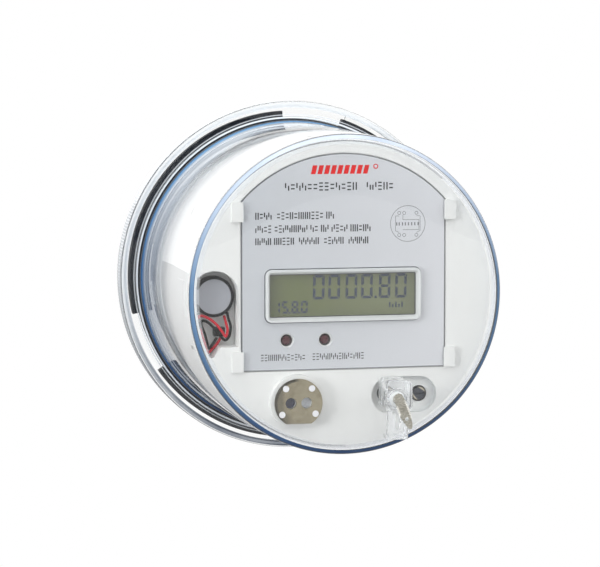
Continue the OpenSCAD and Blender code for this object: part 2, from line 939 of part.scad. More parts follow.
module reset_guard() {
  w = guard_right - guard_left;
  h = guard_top - guard_bottom;
  cx = (guard_left + guard_right) / 2;
  cz = (guard_top + guard_bottom) / 2;
  tw = tongue_right - tongue_left;
  tx = (tongue_left + tongue_right) / 2;
  color([0.85, 0.92, 0.97, 0.35])
    difference() {
      union() {
        face(guard_y, front_y)
          translate([cx, cz])
            rounded(w, h, guard_round);
        disc(hub_r, hub_y, guard_y, reset_x, reset_z, $fn = fn_small);
        // hanging sealing tongue with a foot on the cover
        box(tongue_left, tongue_right, guard_y, guard_y + tongue_t, tongue_bottom, guard_bottom + 1);
        box(tongue_left, tongue_left + 2, guard_y - 1.4, guard_y + tongue_t, tongue_bottom,
          guard_bottom);
        box(tongue_right - 2, tongue_right, guard_y - 1.4, guard_y + tongue_t, tongue_bottom,
          tongue_bottom + 6);
        box(tx - tw / 2, tx + tw / 2, guard_y, front_y, tongue_bottom, tongue_bottom + 2);
      }
      disc(hub_bore, hub_y - 1, front_y - 2.2, reset_x, reset_z, $fn = fn_small);
      disc(shaft_hole, hub_y - 1, front_y + 1, reset_x, reset_z, $fn = fn_small);
      // key slots for the collar
      for (s = [-1, 1])
        box(reset_x + s * 3.95 - 0.65, reset_x + s * 3.95 + 0.65, hub_y - 1, front_y - 2.2,
          reset_z - 0.9, reset_z + 0.9);
      // sealing slot and wire hole in the tongue
      box(tx - 0.9, tx + 1.5, guard_y - 3, guard_y + tongue_t + 1, tongue_bottom + 4.5,
        guard_bottom - 1.5);
      disc(seal_hole, guard_y - 3, guard_y + tongue_t + 1, tongue_right - 1.65, tongue_bottom + 8.5,
        $fn = fn_small);
    }
}

// Clear frame behind the cover's front, round the end of the plunger.
module guard_skirt() {
  w = guard_right - guard_left;
  h = guard_top - guard_bottom;
  cx = (guard_left + guard_right) / 2;
  cz = (guard_top + guard_bottom) / 2;
  color([0.85, 0.92, 0.97, 0.35])
    face(inner_y, inner_y + skirt_depth)
      translate([cx, cz])
        difference() {
          rounded(w, h, guard_round);
          rounded(w - 2 * skirt_wall, h - 2 * skirt_wall, guard_round - skirt_wall);
        }
}

spring_y0 = collar_front + collar_t;
spring_y1 = front_y - 2.2;
coils = 4;

module reset_spring() {
  wire = 0.3;
  r = 2.9;
  steps = 12 * coils;
  len = spring_y1 - spring_y0 - 2 * wire;
  pts = [for (i = [0:steps])
    [reset_x + r * cos(30 * i), spring_y0 + wire + len * i / steps, reset_z + r * sin(30 * i)]];
  color([0.7, 0.7, 0.72])
    sweep(pts, wire);
}

// Keyed collar: it slides in the hub's two slots and cannot turn.
module reset_collar() {
  color([0.85, 0.87, 0.88])
    difference() {
      union() {
        disc(collar_r, collar_front, collar_front + collar_t, reset_x, reset_z, $fn = fn_small);
        for (s = [-1, 1])
          box(reset_x + s * 3.7 - 0.5, reset_x + s * 3.7 + 0.5, collar_front + 0.6,
            collar_front + collar_t, reset_z - 0.5, reset_z + 0.5);
      }
      disc(shaft_r + collar_fit, collar_front - 1, collar_front + collar_t + 1, reset_x, reset_z,
        $fn = fn_small);
    }
}

// Leaf-shaped paddle along +X: (distance from the shaft, share of the full width).
module paddle_leaf() {
  half = [[-paddle_top - 2, 0.17], [-paddle_top - 1.2, 0.36], [0, 0.45], [0.3 * paddle_len, 0.5],
    [0.55 * paddle_len, 0.48], [paddle_len - 2.4, 0.3], [paddle_len - 0.5, 0.17], [paddle_len, 0.06]];
  last = len(half) - 1;
  polygon(concat(
    [for (p = half) [p[0], p[1] * paddle_w]],
    [for (i = [0:last]) [half[last - i][0], -half[last - i][1] * paddle_w]]));
}

module reset_plunger() {
  tip_y = button_front - tip_gap;
  color([0.72, 0.71, 0.68])
    translate([reset_x, 0, reset_z]) {
      disc(shaft_r, paddle_back - paddle_t, tip_y, $fn = fn_small);
      // shoulder that pushes the collar
      disc(2.2, paddle_back - paddle_t, collar_front - 0.3, $fn = fn_small);
      rotate([0, 90 - paddle_angle, 0])
        difference() {
          face(paddle_back - paddle_t, paddle_back)
            paddle_leaf();
          disc(seal_hole, paddle_back - 3, paddle_back + 1, 9.4, 0, $fn = fn_small);
        }
    }
}

module retaining_clip() {
  color([0.6, 0.6, 0.62])
    difference() {
      tube_y(2.8, shaft_r + 0.02, inner_y + 0.4, inner_y + 1.1, reset_x, reset_z);
      box(reset_x - 1, reset_x + 1, inner_y - 1, inner_y + 2, reset_z - 5, reset_z - 1.3);
    }
}

// ---------- assembly ----------

base_housing();
base_feet();
cover_gasket();
current_blade_1();
current_blade_2();
current_blade_3();
current_blade_4();
current_blade_5();
current_blade_6();
potential_blades();
blade_pins();
current_bar_a();
current_bar_b();
current_bar_c();
bar_screws();
current_transformer_a();
current_transformer_b();
current_transformer_c();
transformer_leads();
potential_leads();
power_board();
power_transformer();
power_capacitors();
surge_varistors();
board_spacers();
main_board();
meter_chips();
board_header();
board_screws();
inner_shroud();
front_plate();
nameplate();
lcd_bezel();
lcd_window();
lcd_panel();
display_board();
display_screws();
pulse_led_1();
pulse_led_2();
optical_port_plate();
optical_rivets();
optical_emitter();
optical_detector();
reset_switch();
test_switch();
reset_button();
test_button();
battery();
battery_sleeve();
battery_lead_red();
battery_lead_black();
battery_connector();
cover();
reset_guard();
guard_skirt();
reset_spring();
reset_collar();
reset_plunger();
retaining_clip();
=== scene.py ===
import math
import random

import bmesh
import bpy
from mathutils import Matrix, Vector


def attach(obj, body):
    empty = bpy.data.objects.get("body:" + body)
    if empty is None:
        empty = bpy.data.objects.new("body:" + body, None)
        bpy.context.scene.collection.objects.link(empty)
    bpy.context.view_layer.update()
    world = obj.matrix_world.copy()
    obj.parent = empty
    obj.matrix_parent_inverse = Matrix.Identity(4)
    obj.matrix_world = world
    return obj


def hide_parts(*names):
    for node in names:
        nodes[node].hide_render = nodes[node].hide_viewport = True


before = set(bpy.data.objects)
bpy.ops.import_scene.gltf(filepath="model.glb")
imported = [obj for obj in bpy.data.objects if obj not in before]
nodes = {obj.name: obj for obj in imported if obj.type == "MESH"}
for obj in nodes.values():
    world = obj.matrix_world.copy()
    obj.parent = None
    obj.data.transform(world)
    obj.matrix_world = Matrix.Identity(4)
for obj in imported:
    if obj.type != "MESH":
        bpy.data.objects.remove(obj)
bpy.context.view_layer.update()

MM = 0.001
scene = bpy.context.scene


# ---------------------------------------------------------------- camera and light

cam_data = bpy.data.cameras.new("camera")
cam = bpy.data.objects.new("camera", cam_data)
scene.collection.objects.link(cam)
scene.camera = cam
CAM_AT = Vector((-0.2883, -1.2638, 0.1089))
CAM_LOOK = Vector((0, -0.06, 0))
cam.location = CAM_AT
cam.rotation_mode = "QUATERNION"
cam.rotation_quaternion = (CAM_LOOK - CAM_AT).to_track_quat("-Z", "Y")
cam_data.lens = 152.0
cam_data.sensor_width = 36
cam_data.shift_x = -0.0230
cam_data.shift_y = -0.0012
cam_data.clip_start = 0.05
cam_data.clip_end = 60

scene.view_settings.view_transform = "Standard"
scene.view_settings.look = "None"
scene.cycles.max_bounces = 28
scene.cycles.transmission_bounces = 28
scene.cycles.glossy_bounces = 10
scene.cycles.transparent_max_bounces = 28


def area_light(name, at, look, size, power):
    """A square softbox that lights the object and isn't mirrored in it."""
    data = bpy.data.lights.new(name, "AREA")
    data.energy = power
    data.shape = "SQUARE"
    data.size = size
    o = bpy.data.objects.new(name, data)
    scene.collection.objects.link(o)
    o.location = at
    o.rotation_mode = "QUATERNION"
    o.rotation_quaternion = (Vector(look) - Vector(at)).to_track_quat("-Z", "Y")
    o.visible_glossy = False
    o.visible_transmission = False


# how strongly the room lights dull surfaces
LIT = 1.47
area_light("key", (-0.9, -1.4, 1.5), (0, -0.06, 0), 0.9, 9)
area_light("side", (1.3, -0.9, 0.5), (0, -0.06, 0), 0.7, 3)
area_light("left", (-1.25, -0.8, 0.12), (-0.06, -0.11, 0), 0.5, 10)
area_light("rear", (-0.3, 1.3, 0.9), (0, 0, 0), 0.8, 5)


def new_tree(mat_or_world):
    mat_or_world.use_nodes = True
    t = mat_or_world.node_tree
    t.nodes.clear()
    return t


def add_node(t, kind, inputs=(), **settings):
    """A shader node with its settings made, and its inputs linked to sockets or given values."""
    node = t.nodes.new("ShaderNode" + kind)
    for key, value in settings.items():
        setattr(node, key, value)
    for key, value in dict(inputs).items():
        if isinstance(value, bpy.types.NodeSocket):
            t.links.new(value, node.inputs[key])
        else:
            node.inputs[key].default_value = value
    return node


def math_node(t, operation, a, b=0.0, clamp=False):
    """A math node's result from two values, each a socket or a number."""
    return add_node(t, "Math", {0: a, 1: b}, operation=operation, use_clamp=clamp).outputs[0]


def unscattered(t, path, kind_a, kind_b):
    """One for two kinds of ray that haven't yet bounced off a dull surface."""
    either = math_node(t, "MAXIMUM", path[kind_a], path[kind_b])
    early = math_node(t, "LESS_THAN", path["Diffuse Depth"], 0.5)
    return math_node(t, "MULTIPLY", either, early)


def ramp_of(t, value, low, high, stops):
    """A grey ramp over a value running from low to high."""
    limits = {"Value": value, "From Min": low, "From Max": high}
    ramp = add_node(t, "ValToRGB", {"Fac": add_node(t, "MapRange", limits).outputs["Result"]})
    e = ramp.color_ramp.elements
    for k, (pos, v) in enumerate(stops):
        x = e[k] if k < 2 else e.new(pos)
        x.position, x.color = pos, (v, v, v, 1)
    return ramp.outputs["Color"]


def build_world():
    """White behind the object, a broad softbox above, darker towards the camera's side."""
    world = bpy.data.worlds.new("studio")
    scene.world = world
    t = new_tree(world)
    path = add_node(t, "LightPath").outputs
    split = add_node(t, "SeparateXYZ", {0: add_node(t, "TexCoord").outputs["Generated"]}).outputs
    seen = add_node(t, "Background", {"Color": (1, 1, 1, 1)})
    sky = ramp_of(t, split["Z"], -1, 1, ((0.0, 0.6), (1.0, 1.1), (0.5, 0.82)))
    soft = add_node(t, "Background", {"Color": sky, "Strength": LIT})
    depths = ((0.0, 0.1), (1.0, 1.0), (0.3, 0.2), (0.5, 0.5), (0.7, 0.95))
    back = ramp_of(t, split["Y"], -1, 1, depths)
    above = ramp_of(t, split["Z"], 0.25, 0.9, ((0.0, 0.0), (1.0, 1.0)))
    lighter = {"data_type": "RGBA", "blend_type": "LIGHTEN"}
    both = add_node(t, "Mix", {0: 1.0, 6: back, 7: above}, **lighter)
    room = add_node(t, "Background", {"Color": both.outputs[2]})
    mirrored = unscattered(t, path, "Is Glossy Ray", "Is Transmission Ray")
    first = add_node(t, "MixShader", {"Fac": mirrored, 1: soft.outputs[0], 2: room.outputs[0]})
    kinds = {"Fac": path["Is Camera Ray"], 1: first.outputs[0], 2: seen.outputs[0]}
    add_node(t, "OutputWorld", {"Surface": add_node(t, "MixShader", kinds).outputs[0]})


build_world()


# ---------------------------------------------------------------- node material helpers


class Mat:
    """A material being written: a principled shader with procedural colour, roughness and bump."""

    def __init__(self, name, color, rough=0.4, metal=0.0, **sockets):
        self.mat = bpy.data.materials.new(name)
        self.mat.diffuse_color = (*color[:3], 1)
        self.tree = new_tree(self.mat)
        given = {key.replace("_", " "): value for key, value in sockets.items()}
        shader = {"Base Color": (*color[:3], 1), "Roughness": rough, "Metallic": metal, **given}
        self.bsdf = self.add("BsdfPrincipled", shader)
        self.out = self.add("OutputMaterial", {"Surface": self.bsdf.outputs[0]})
        self.coord = self.add("TexCoord").outputs["Object"]
        self.height = None

    def add(self, kind, inputs=(), **settings):
        return add_node(self.tree, kind, inputs, **settings)

    def link(self, socket, name):
        """Feed a socket into one of the shader's inputs."""
        self.tree.links.new(socket, self.bsdf.inputs[name])

    def noise(self, scale, detail=4, rough=0.55, stretch=None):
        at = self.mapped(stretch) if stretch else self.coord
        look = {"Scale": scale, "Detail": detail, "Roughness": rough, "Vector": at}
        return self.add("TexNoise", look).outputs["Fac"]

    def voronoi(self, scale):
        return self.add("TexVoronoi", {"Scale": scale, "Vector": self.coord}).outputs["Distance"]

    def mapped(self, stretch):
        return self.add("Mapping", {"Scale": stretch, "Vector": self.coord}).outputs[0]

    def axis(self, name):
        return self.add("SeparateXYZ", {0: self.coord}).outputs[name]

    def spot(self, x=0, z=0):
        """Distance in the XZ plane from a point given in millimetres, in metres."""
        at = self.add("VectorMath", {0: self.coord, 1: (x * MM, 0, z * MM)}, operation="SUBTRACT")
        flat = self.add("VectorMath", {0: at.outputs[0], 1: (1, 0, 1)}, operation="MULTIPLY")
        return self.add("VectorMath", {0: flat.outputs[0]}, operation="LENGTH").outputs["Value"]

    def band(self, value, low, high, soft=0.15):
        """One between two distances in millimetres, fading to nothing outside them."""
        up = self.remap(value, (low - soft) * MM, (low + soft) * MM)
        down = self.remap(value, (high - soft) * MM, (high + soft) * MM, 1, 0)
        return self.math("MULTIPLY", up, down)

    def lean(self, x, z, ax, az, low, high):
        """Zero to one across the object along the direction (ax, az) from a point in millimetres."""
        a = self.math("MULTIPLY", self.math("SUBTRACT", self.axis("X"), x * MM), ax)
        b = self.math("MULTIPLY", self.math("SUBTRACT", self.axis("Z"), z * MM), az)
        return self.remap(self.math("ADD", a, b), low * MM, high * MM)

    def math(self, operation, a, b=0.0, clamp=False):
        return math_node(self.tree, operation, a, b, clamp)

    def remap(self, value, a, b, c=0.0, d=1.0):
        limits = {"From Min": a, "From Max": b, "To Min": c, "To Max": d}
        return self.add("MapRange", {"Value": value, **limits}, clamp=True).outputs["Result"]

    def blend(self, fac, color_a, color_b):
        colors = [(*v[:3], 1) if isinstance(v, tuple) else v for v in (color_a, color_b)]
        return self.add("Mix", {0: fac, 6: colors[0], 7: colors[1]}, data_type="RGBA").outputs[2]

    def paint(self, base, color, mask, amount):
        """A colour laid over the base where the mask is one, at a given strength."""
        return self.blend(self.math("MULTIPLY", mask, amount), base, color)

    def mottled(self, scale, detail, low, high, color_a, color_b):
        """Two colours in soft patches."""
        return self.blend(self.remap(self.noise(scale, detail), low, high), color_a, color_b)

    def set_color(self, socket):
        self.link(socket, "Base Color")

    def set_rough(self, fac, low, high):
        self.link(self.remap(fac, 0.25, 0.75, low, high), "Roughness")

    def bump(self, fac, strength, distance):
        """Relief over what relief there is already."""
        relief = {"Strength": strength, "Distance": distance, "Height": fac}
        if self.height is not None:
            relief["Normal"] = self.height
        self.height = self.add("Bump", relief).outputs[0]
        self.link(self.height, "Normal")

    def edge_wear_and_highlight(self, base, edge, amount=0.4):
        """Lighter or darker convex edges, from the mesh's own pointiness: worn edges, and on the nickel
        pieces a painted highlight.
        """
        g = self.add("NewGeometry").outputs
        p = self.remap(g["Pointiness"], 0.52, 0.58, 0, amount)
        return self.blend(p, base, edge)


def scaled(c, k):
    return tuple(min(1.0, x * k) for x in c[:3])


def plastic(name, color, rough=0.35, grain=0.25, tone=0.05, grain_scale=2600, **sockets):
    """Moulded plastic: soft colour patches, fine spark texture, wandering roughness, faintly worn edges."""
    m = Mat(name, color, rough, **sockets)
    base = m.mottled(22, 3, 0.3, 0.7, scaled(color, 1 - tone), scaled(color, 1 + tone * 0.6))
    m.set_color(m.edge_wear_and_highlight(base, scaled(color, 1.25) if max(color) < 0.5 else scaled(color, 0.97), 0.35))
    m.set_rough(m.noise(60, 5), rough - 0.06, rough + 0.08)
    m.bump(m.noise(grain_scale, 2), grain, 0.00002)
    m.bump(m.noise(140, 3), 0.12, 0.00006)
    return m.mat


def metal(name, color, rough=0.3, stretch=(60, 60, 60), streak=0.35, spots=0.0, tone=0.1):
    """Brushed or plated metal with streaks along one axis, small stains and rubbed edges."""
    m = Mat(name, color, rough, metal=1.0)
    lines = m.noise(18, 6, 0.7, stretch)
    base = m.mottled(90, 4, 0.3, 0.7, scaled(color, 1 - tone), scaled(color, 1 + tone))
    if spots:
        stain = m.remap(m.noise(420, 5, 0.7), 0.56, 0.72)
        base = m.paint(base, scaled(color, 0.45), stain, spots)
    m.set_color(m.edge_wear_and_highlight(base, scaled(color, 1.25), 0.5))
    m.set_rough(lines, max(0.06, rough - 0.1), rough + 0.14)
    m.bump(lines, streak, 0.00003)
    return m.mat


def lamps_through(m, tint):
    """Let lamps shine through clear material, as they would through a thin wall."""
    shadow = m.add("LightPath").outputs["Is Shadow Ray"]
    passing = m.add("BsdfTransparent", {"Color": (*tint, 1)}).outputs[0]
    mix = m.add("MixShader", {"Fac": shadow, 1: m.bsdf.outputs[0], 2: passing})
    m.tree.links.new(mix.outputs[0], m.out.inputs["Surface"])
    return m.mat


def clear(name, tint, rough, ior):
    """A clear flat pane, moulded slightly uneven."""
    m = Mat(name, tint, rough, Transmission_Weight=1.0, IOR=ior)
    m.set_color(m.mottled(40, 3, 0.3, 0.7, tint, scaled(tint, 0.985)))
    m.set_rough(m.noise(35, 4), rough * 0.5, rough * 1.8 + 0.01)
    m.bump(m.noise(30, 2), 0.12, 0.00025)
    return lamps_through(m, tint)


# ---------------------------------------------------------------- mesh helpers


def link(mesh, name):
    o = bpy.data.objects.new(name, mesh)
    scene.collection.objects.link(o)
    return o


def from_bmesh(bm, name):
    bmesh.ops.recalc_face_normals(bm, faces=bm.faces)
    mesh = bpy.data.meshes.new(name)
    bm.to_mesh(mesh)
    bm.free()
    return link(mesh, name)


# edges that bend more than this, in degrees, stay sharp or are bevelled
SHARP = 35


def add_bevel(o, width, segments=2):
    """A bevel modifier over the sharp edges, its width in millimetres."""
    b = o.modifiers.new("edges", "BEVEL")
    b.width = width * MM
    b.segments = segments
    b.limit_method = "ANGLE"
    b.angle_limit = math.radians(SHARP)


def shade(o):
    """Smooth faces with the sharp edges kept."""
    bm = bmesh.new()
    bm.from_mesh(o.data)
    for f in bm.faces:
        f.smooth = True
    limit = math.radians(SHARP)
    for e in bm.edges:
        e.smooth = not (len(e.link_faces) == 2 and e.calc_face_angle(0) > limit)
    bm.to_mesh(o.data)
    bm.free()


def finish(o, mat, body, replaces=(), bevel=0.0):
    """A finished piece: its material, the body it moves with and the CAD nodes it stands for."""
    o.data.materials.clear()
    o.data.materials.append(mat)
    if bevel:
        add_bevel(o, bevel)
    shade(o)
    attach(o, body)
    if replaces:
        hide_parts(*replaces)


def lathe(name, profile, segments, wobble):
    """Profile of (radius, y) in millimetres turned about the Y axis. A point at radius 0 becomes one
    vertex, and wobble(index, radius, y) is added to each radius."""
    bm = bmesh.new()
    rings = []
    for r, y in profile:
        if r <= 1e-6:
            rings.append([bm.verts.new((0, y * MM, 0))])
            continue
        ring = []
        for i in range(segments):
            a = 2 * math.pi * i / segments
            k = r + wobble(i, r, y)
            ring.append(bm.verts.new((k * MM * math.cos(a), y * MM, k * MM * math.sin(a))))
        rings.append(ring)
    for a, b in zip(rings, rings[1:]):
        for i in range(segments):
            j = (i + 1) % segments
            if len(a) == 1:
                bm.faces.new((a[0], b[i], b[j]))
            elif len(b) == 1:
                bm.faces.new((a[i], b[0], a[j]))
            else:
                bm.faces.new((a[i], b[i], b[j], a[j]))
    return from_bmesh(bm, name)


def prism(name, outline, y0, y1, holes=()):
    """An outline of (x, z) millimetres extruded along Y, with holes as further outlines."""
    bm = bmesh.new()
    edges = []
    for pts in (outline, *holes):
        vs = [bm.verts.new((x * MM, y1 * MM, z * MM)) for x, z in pts]
        edges += [bm.edges.new((vs[i], vs[(i + 1) % len(vs)])) for i in range(len(vs))]
    bmesh.ops.triangle_fill(bm, use_beauty=True, use_dissolve=False, edges=edges)
    verts, edges = list(bm.verts), list(bm.edges)
    bmesh.ops.dissolve_limit(bm, angle_limit=0.01, verts=verts, edges=edges, delimit={"NORMAL"})
    up = bmesh.ops.extrude_face_region(bm, geom=list(bm.faces))
    moved = [g for g in up["geom"] if isinstance(g, bmesh.types.BMVert)]
    bmesh.ops.translate(bm, verts=moved, vec=(0, (y0 - y1) * MM, 0))
    return from_bmesh(bm, name)


def circle(cx, cz, r, n=64, a0=0, a1=360):
    """Points round a circle, or along an arc of it from a0 to a1 with both ends."""
    count = n if abs(a1 - a0) >= 360 else n + 1
    turns = [math.radians(a0 + (a1 - a0) * i / n) for i in range(count)]
    return [(cx + r * math.cos(a), cz + r * math.sin(a)) for a in turns]


def rounded(cx, cz, w, h, r, n=8):
    """Outline of a rectangle with round corners."""
    pts = []
    for sx, sz, a in ((1, 1, 0), (-1, 1, 90), (-1, -1, 180), (1, -1, 270)):
        pts += circle(cx + sx * (w / 2 - r), cz + sz * (h / 2 - r), r, n, a, a + 90)
    return pts


def disc(name, cx, cz, r, y0, y1, n=64):
    return prism(name, circle(cx, cz, r, n), y0, y1)


def discard(o):
    """Remove a helper object with its mesh."""
    mesh = o.data
    bpy.data.objects.remove(o)
    bpy.data.meshes.remove(mesh)


def join(name, parts):
    """One mesh object from several."""
    bm = bmesh.new()
    for p in parts:
        bm.from_mesh(p.data)
        discard(p)
    mesh = bpy.data.meshes.new(name)
    bm.to_mesh(mesh)
    bm.free()
    return link(mesh, name)


def boolean(o, others, operation):
    """The object with others cut away or joined on, applied to its mesh."""
    for c in others:
        m = o.modifiers.new("boolean", "BOOLEAN")
        m.operation = operation
        m.solver = "EXACT"
        m.object = c
    return applied(o, others)


def applied(o, used=()):
    """The object with its modifiers made part of its mesh, and the helper objects gone."""
    dg = bpy.context.evaluated_depsgraph_get()
    mesh = bpy.data.meshes.new_from_object(o.evaluated_get(dg))
    o.modifiers.clear()
    old = o.data
    o.data = mesh
    bpy.data.meshes.remove(old)
    for c in used:
        discard(c)
    return o


def bevelled(o, width, segments=2):
    """Bevel applied to the mesh itself."""
    add_bevel(o, width, segments)
    return applied(o)


def cad(name, mat, bevel=0.0):
    """A CAD node kept as it is, with a finished material and softened edges."""
    o = nodes[name]
    o.data.materials.clear()
    o.data.materials.append(mat)
    if bevel:
        d = o.modifiers.new("flats", "DECIMATE")
        d.decimate_type = "DISSOLVE"
        d.angle_limit = math.radians(0.5)
        add_bevel(o, bevel)


def srgb(r, g, b):
    """A colour given in display values 0 to 255, as linear light."""

    def one(v):
        v /= 255
        return v / 12.92 if v <= 0.04045 else ((v + 0.055) / 1.055) ** 2.4

    return one(r), one(g), one(b)


def route(points, steps=14):
    """The smooth line the leads follow: a Catmull-Rom curve through its points, in millimetres."""
    p = [Vector(q) for q in points]
    out = []
    for i in range(len(p) - 1):
        a, b, c, d = p[max(i - 1, 0)], p[i], p[i + 1], p[min(i + 2, len(p) - 1)]
        for k in range(steps):
            t = k / steps
            square = (2 * a - 5 * b + 4 * c - d) * t * t
            cube = (3 * b - a - 3 * c + d) * t**3
            out.append(0.5 * (2 * b + (c - a) * t + square + cube))
    out.append(p[-1])
    return out


def sweep(name, points, radius, sides=18):
    """A round section carried along a line of points in millimetres, with closed ends."""
    p = [Vector(q) * MM for q in points]
    last = len(p) - 1
    bm = bmesh.new()
    rings = []
    normal = None
    for i, q in enumerate(p):
        t = (p[min(i + 1, last)] - p[max(i - 1, 0)]).normalized()
        if normal is None:
            normal = t.cross(Vector((0.31, 0.2, 0.93))).normalized()
        normal = (normal - normal.dot(t) * t).normalized()
        side = t.cross(normal)
        r = radius * MM
        turns = [2 * math.pi * j / sides for j in range(sides)]
        rings.append([bm.verts.new(q + r * (math.cos(a) * normal + math.sin(a) * side)) for a in turns])
    for a, b in zip(rings, rings[1:]):
        for j in range(sides):
            bm.faces.new((a[j], a[(j + 1) % sides], b[(j + 1) % sides], b[j]))
    bm.faces.new(rings[0])
    bm.faces.new(rings[-1])
    return from_bmesh(bm, name)


# ---------------------------------------------------------------- materials

white_shroud = plastic(
    "white_shroud", srgb(243, 244, 245), 0.42, grain=0.12, tone=0.015, Specular_IOR_Level=0.4
)
base_black = plastic("base_black", srgb(12, 18, 28), 0.5, grain=0.3, tone=0.12, Specular_IOR_Level=0.12)
gasket = plastic("gasket_rubber", srgb(10, 12, 16), 0.55, grain=0.2, tone=0.1, Specular_IOR_Level=0.1)
blade_tin = metal("blade_tin", srgb(214, 212, 205), 0.26, stretch=(8, 1, 8), streak=0.3, spots=0.25)
copper = metal("copper", srgb(214, 150, 112), 0.28, stretch=(1, 6, 6), streak=0.3, spots=0.4)
steel = metal("screw_steel", srgb(196, 197, 200), 0.3, stretch=(6, 6, 6), streak=0.25, spots=0.3)
dark_clip = metal("clip_steel", srgb(172, 173, 177), 0.32, stretch=(4, 4, 4), streak=0.3, spots=0.3)
blue_pot = plastic("transformer_blue", srgb(44, 62, 128), 0.4, grain=0.25, tone=0.12)
lead_blue = plastic("lead_blue", srgb(40, 90, 175), 0.3, grain=0.1, tone=0.1)
lead_yellow = plastic("lead_yellow", srgb(214, 184, 40), 0.3, grain=0.1, tone=0.1)
winding = plastic("winding_yellow", srgb(214, 170, 70), 0.45, grain=0.35, tone=0.15)
cap_blue = plastic("capacitor_sleeve", srgb(42, 44, 92), 0.25, grain=0.08, tone=0.1)
varistor = plastic("varistor_blue", srgb(38, 92, 170), 0.3, grain=0.2, tone=0.1)
brass = metal("spacer_brass", srgb(214, 184, 112), 0.25, stretch=(1, 14, 1), streak=0.3, spots=0.2)
chip = plastic("chip_black", srgb(30, 31, 34), 0.5, grain=0.4, tone=0.1)
switch = plastic("switch_black", srgb(34, 35, 38), 0.45, grain=0.3, tone=0.1)
sleeve = plastic("sleeve_black", srgb(5, 8, 14), 0.5, grain=0.06, tone=0.2, Specular_IOR_Level=0.06)
wire_red = plastic("wire_red", srgb(206, 14, 42), 0.28, grain=0.05, tone=0.12, Specular_IOR_Level=0.3)
wire_black = plastic("wire_black", srgb(8, 8, 11), 0.3, grain=0.05, tone=0.12, Specular_IOR_Level=0.2)
connector = plastic("connector_black", srgb(16, 17, 22), 0.45, grain=0.3, tone=0.1, Specular_IOR_Level=0.2)
rivet = plastic("rivet_white", srgb(244, 244, 248), 0.3, grain=0.08, tone=0.02)
collar = plastic("collar_natural", srgb(226, 230, 232), 0.3, grain=0.1, tone=0.03)
spring = metal("spring_steel", srgb(196, 197, 200), 0.22, stretch=(6, 6, 6), streak=0.15)


def board_material():
    """Solder mask in two soft greens, a faint raised grid of tracks, pale edges and a fine weave."""
    m = Mat("board_green", srgb(22, 96, 58), 0.3)
    weave = m.noise(1400, 2, 0.5)
    grid = {"Scale": 170, "Mortar Size": 0.03, "Vector": m.mapped((1, 0.01, 1))}
    brick = m.add("TexBrick", grid, offset_frequency=3)
    tracks = m.blend(m.remap(m.noise(55, 2, 0.4), 0.45, 0.55), srgb(18, 82, 50), srgb(30, 120, 72))
    base = m.paint(tracks, srgb(60, 150, 100), brick.outputs["Fac"], 0.35)
    m.set_color(m.edge_wear_and_highlight(base, srgb(170, 180, 120), 0.25))
    m.set_rough(weave, 0.25, 0.4)
    m.bump(brick.outputs["Fac"], 0.15, 0.00004)
    return m.mat


board = board_material()


# the reset key's centre, then those of the two holes in the face's recess, x and z
RESET = (21, -48)
HOLES = (RESET, (37.6, -48.6))
# the recess: its centre, half the length of its straight part and the radius of its ends
RECESS = (29.4, -48.4, 7.2, 8.7)
# the depths at which the painted shade inside it starts and is full
SHADE_START, SHADE_FULL = -119.2, -118.2


def face_material():
    """White face plate: fine spark texture, painted shade in the recess round the two buttons, painted
    highlights on the hole edges.
    """
    m = Mat("white_face", srgb(238, 239, 238), 0.38, Specular_IOR_Level=0.4)
    base = m.mottled(22, 3, 0.3, 0.7, srgb(236, 237, 236), srgb(240, 241, 240))
    base = m.edge_wear_and_highlight(base, srgb(234, 235, 234), 0.3)
    cx, cz, half, r = RECESS
    across = m.math("ABSOLUTE", m.math("SUBTRACT", m.axis("X"), cx * MM))
    across = m.math("MAXIMUM", m.math("SUBTRACT", across, half * MM), 0.0)
    along = m.math("SUBTRACT", m.axis("Z"), cz * MM)
    squares = m.math("ADD", m.math("MULTIPLY", across, across), m.math("MULTIPLY", along, along))
    d = m.math("SQRT", squares)
    # painted shade inside the recess, deeper towards its upper right end
    recess_shade = m.remap(d, 5.0 * MM, r * MM)
    recess_shade = m.math("MULTIPLY", recess_shade, m.remap(m.axis("Y"), SHADE_START * MM, SHADE_FULL * MM))
    recess_shade = m.math("MULTIPLY", recess_shade, m.remap(d, 11 * MM, 10.5 * MM, 0, 1))
    recess_shade = m.math("MULTIPLY", recess_shade, m.lean(cx, cz, 0.8, 0.6, -12, 8))
    base = m.paint(base, srgb(186, 191, 195), recess_shade, 0.5)
    # painted highlights: white rings on the edges of the two button holes
    for x, z in HOLES:
        edge = m.band(m.spot(x, z), 3.7, 4.5, 0.12)
        base = m.paint(base, srgb(255, 255, 255), edge, 0.9)
    m.set_color(base)
    m.set_rough(m.noise(60, 5), 0.32, 0.46)
    m.bump(m.noise(2600, 2), 0.22, 0.00002)
    m.bump(m.noise(140, 3), 0.12, 0.00006)
    return m.mat


white_face = face_material()


# the nameplate's half width, the height of its foot and the radius of its arched top
PLATE_HALF, PLATE_FOOT, PLATE_ARCH = 49, -35.3, 65.8
# where its painted shadow line, the shade of the gap round the plate, starts and where it is full, in from
# the edge
SHADOW_LINE_IN, SHADOW_LINE_FULL = 0.45, 0.3
# the two pulse LEDs: how far across each one is, and their height
LED_X = (-27.35, -8.95)
LED_Z = -21.3


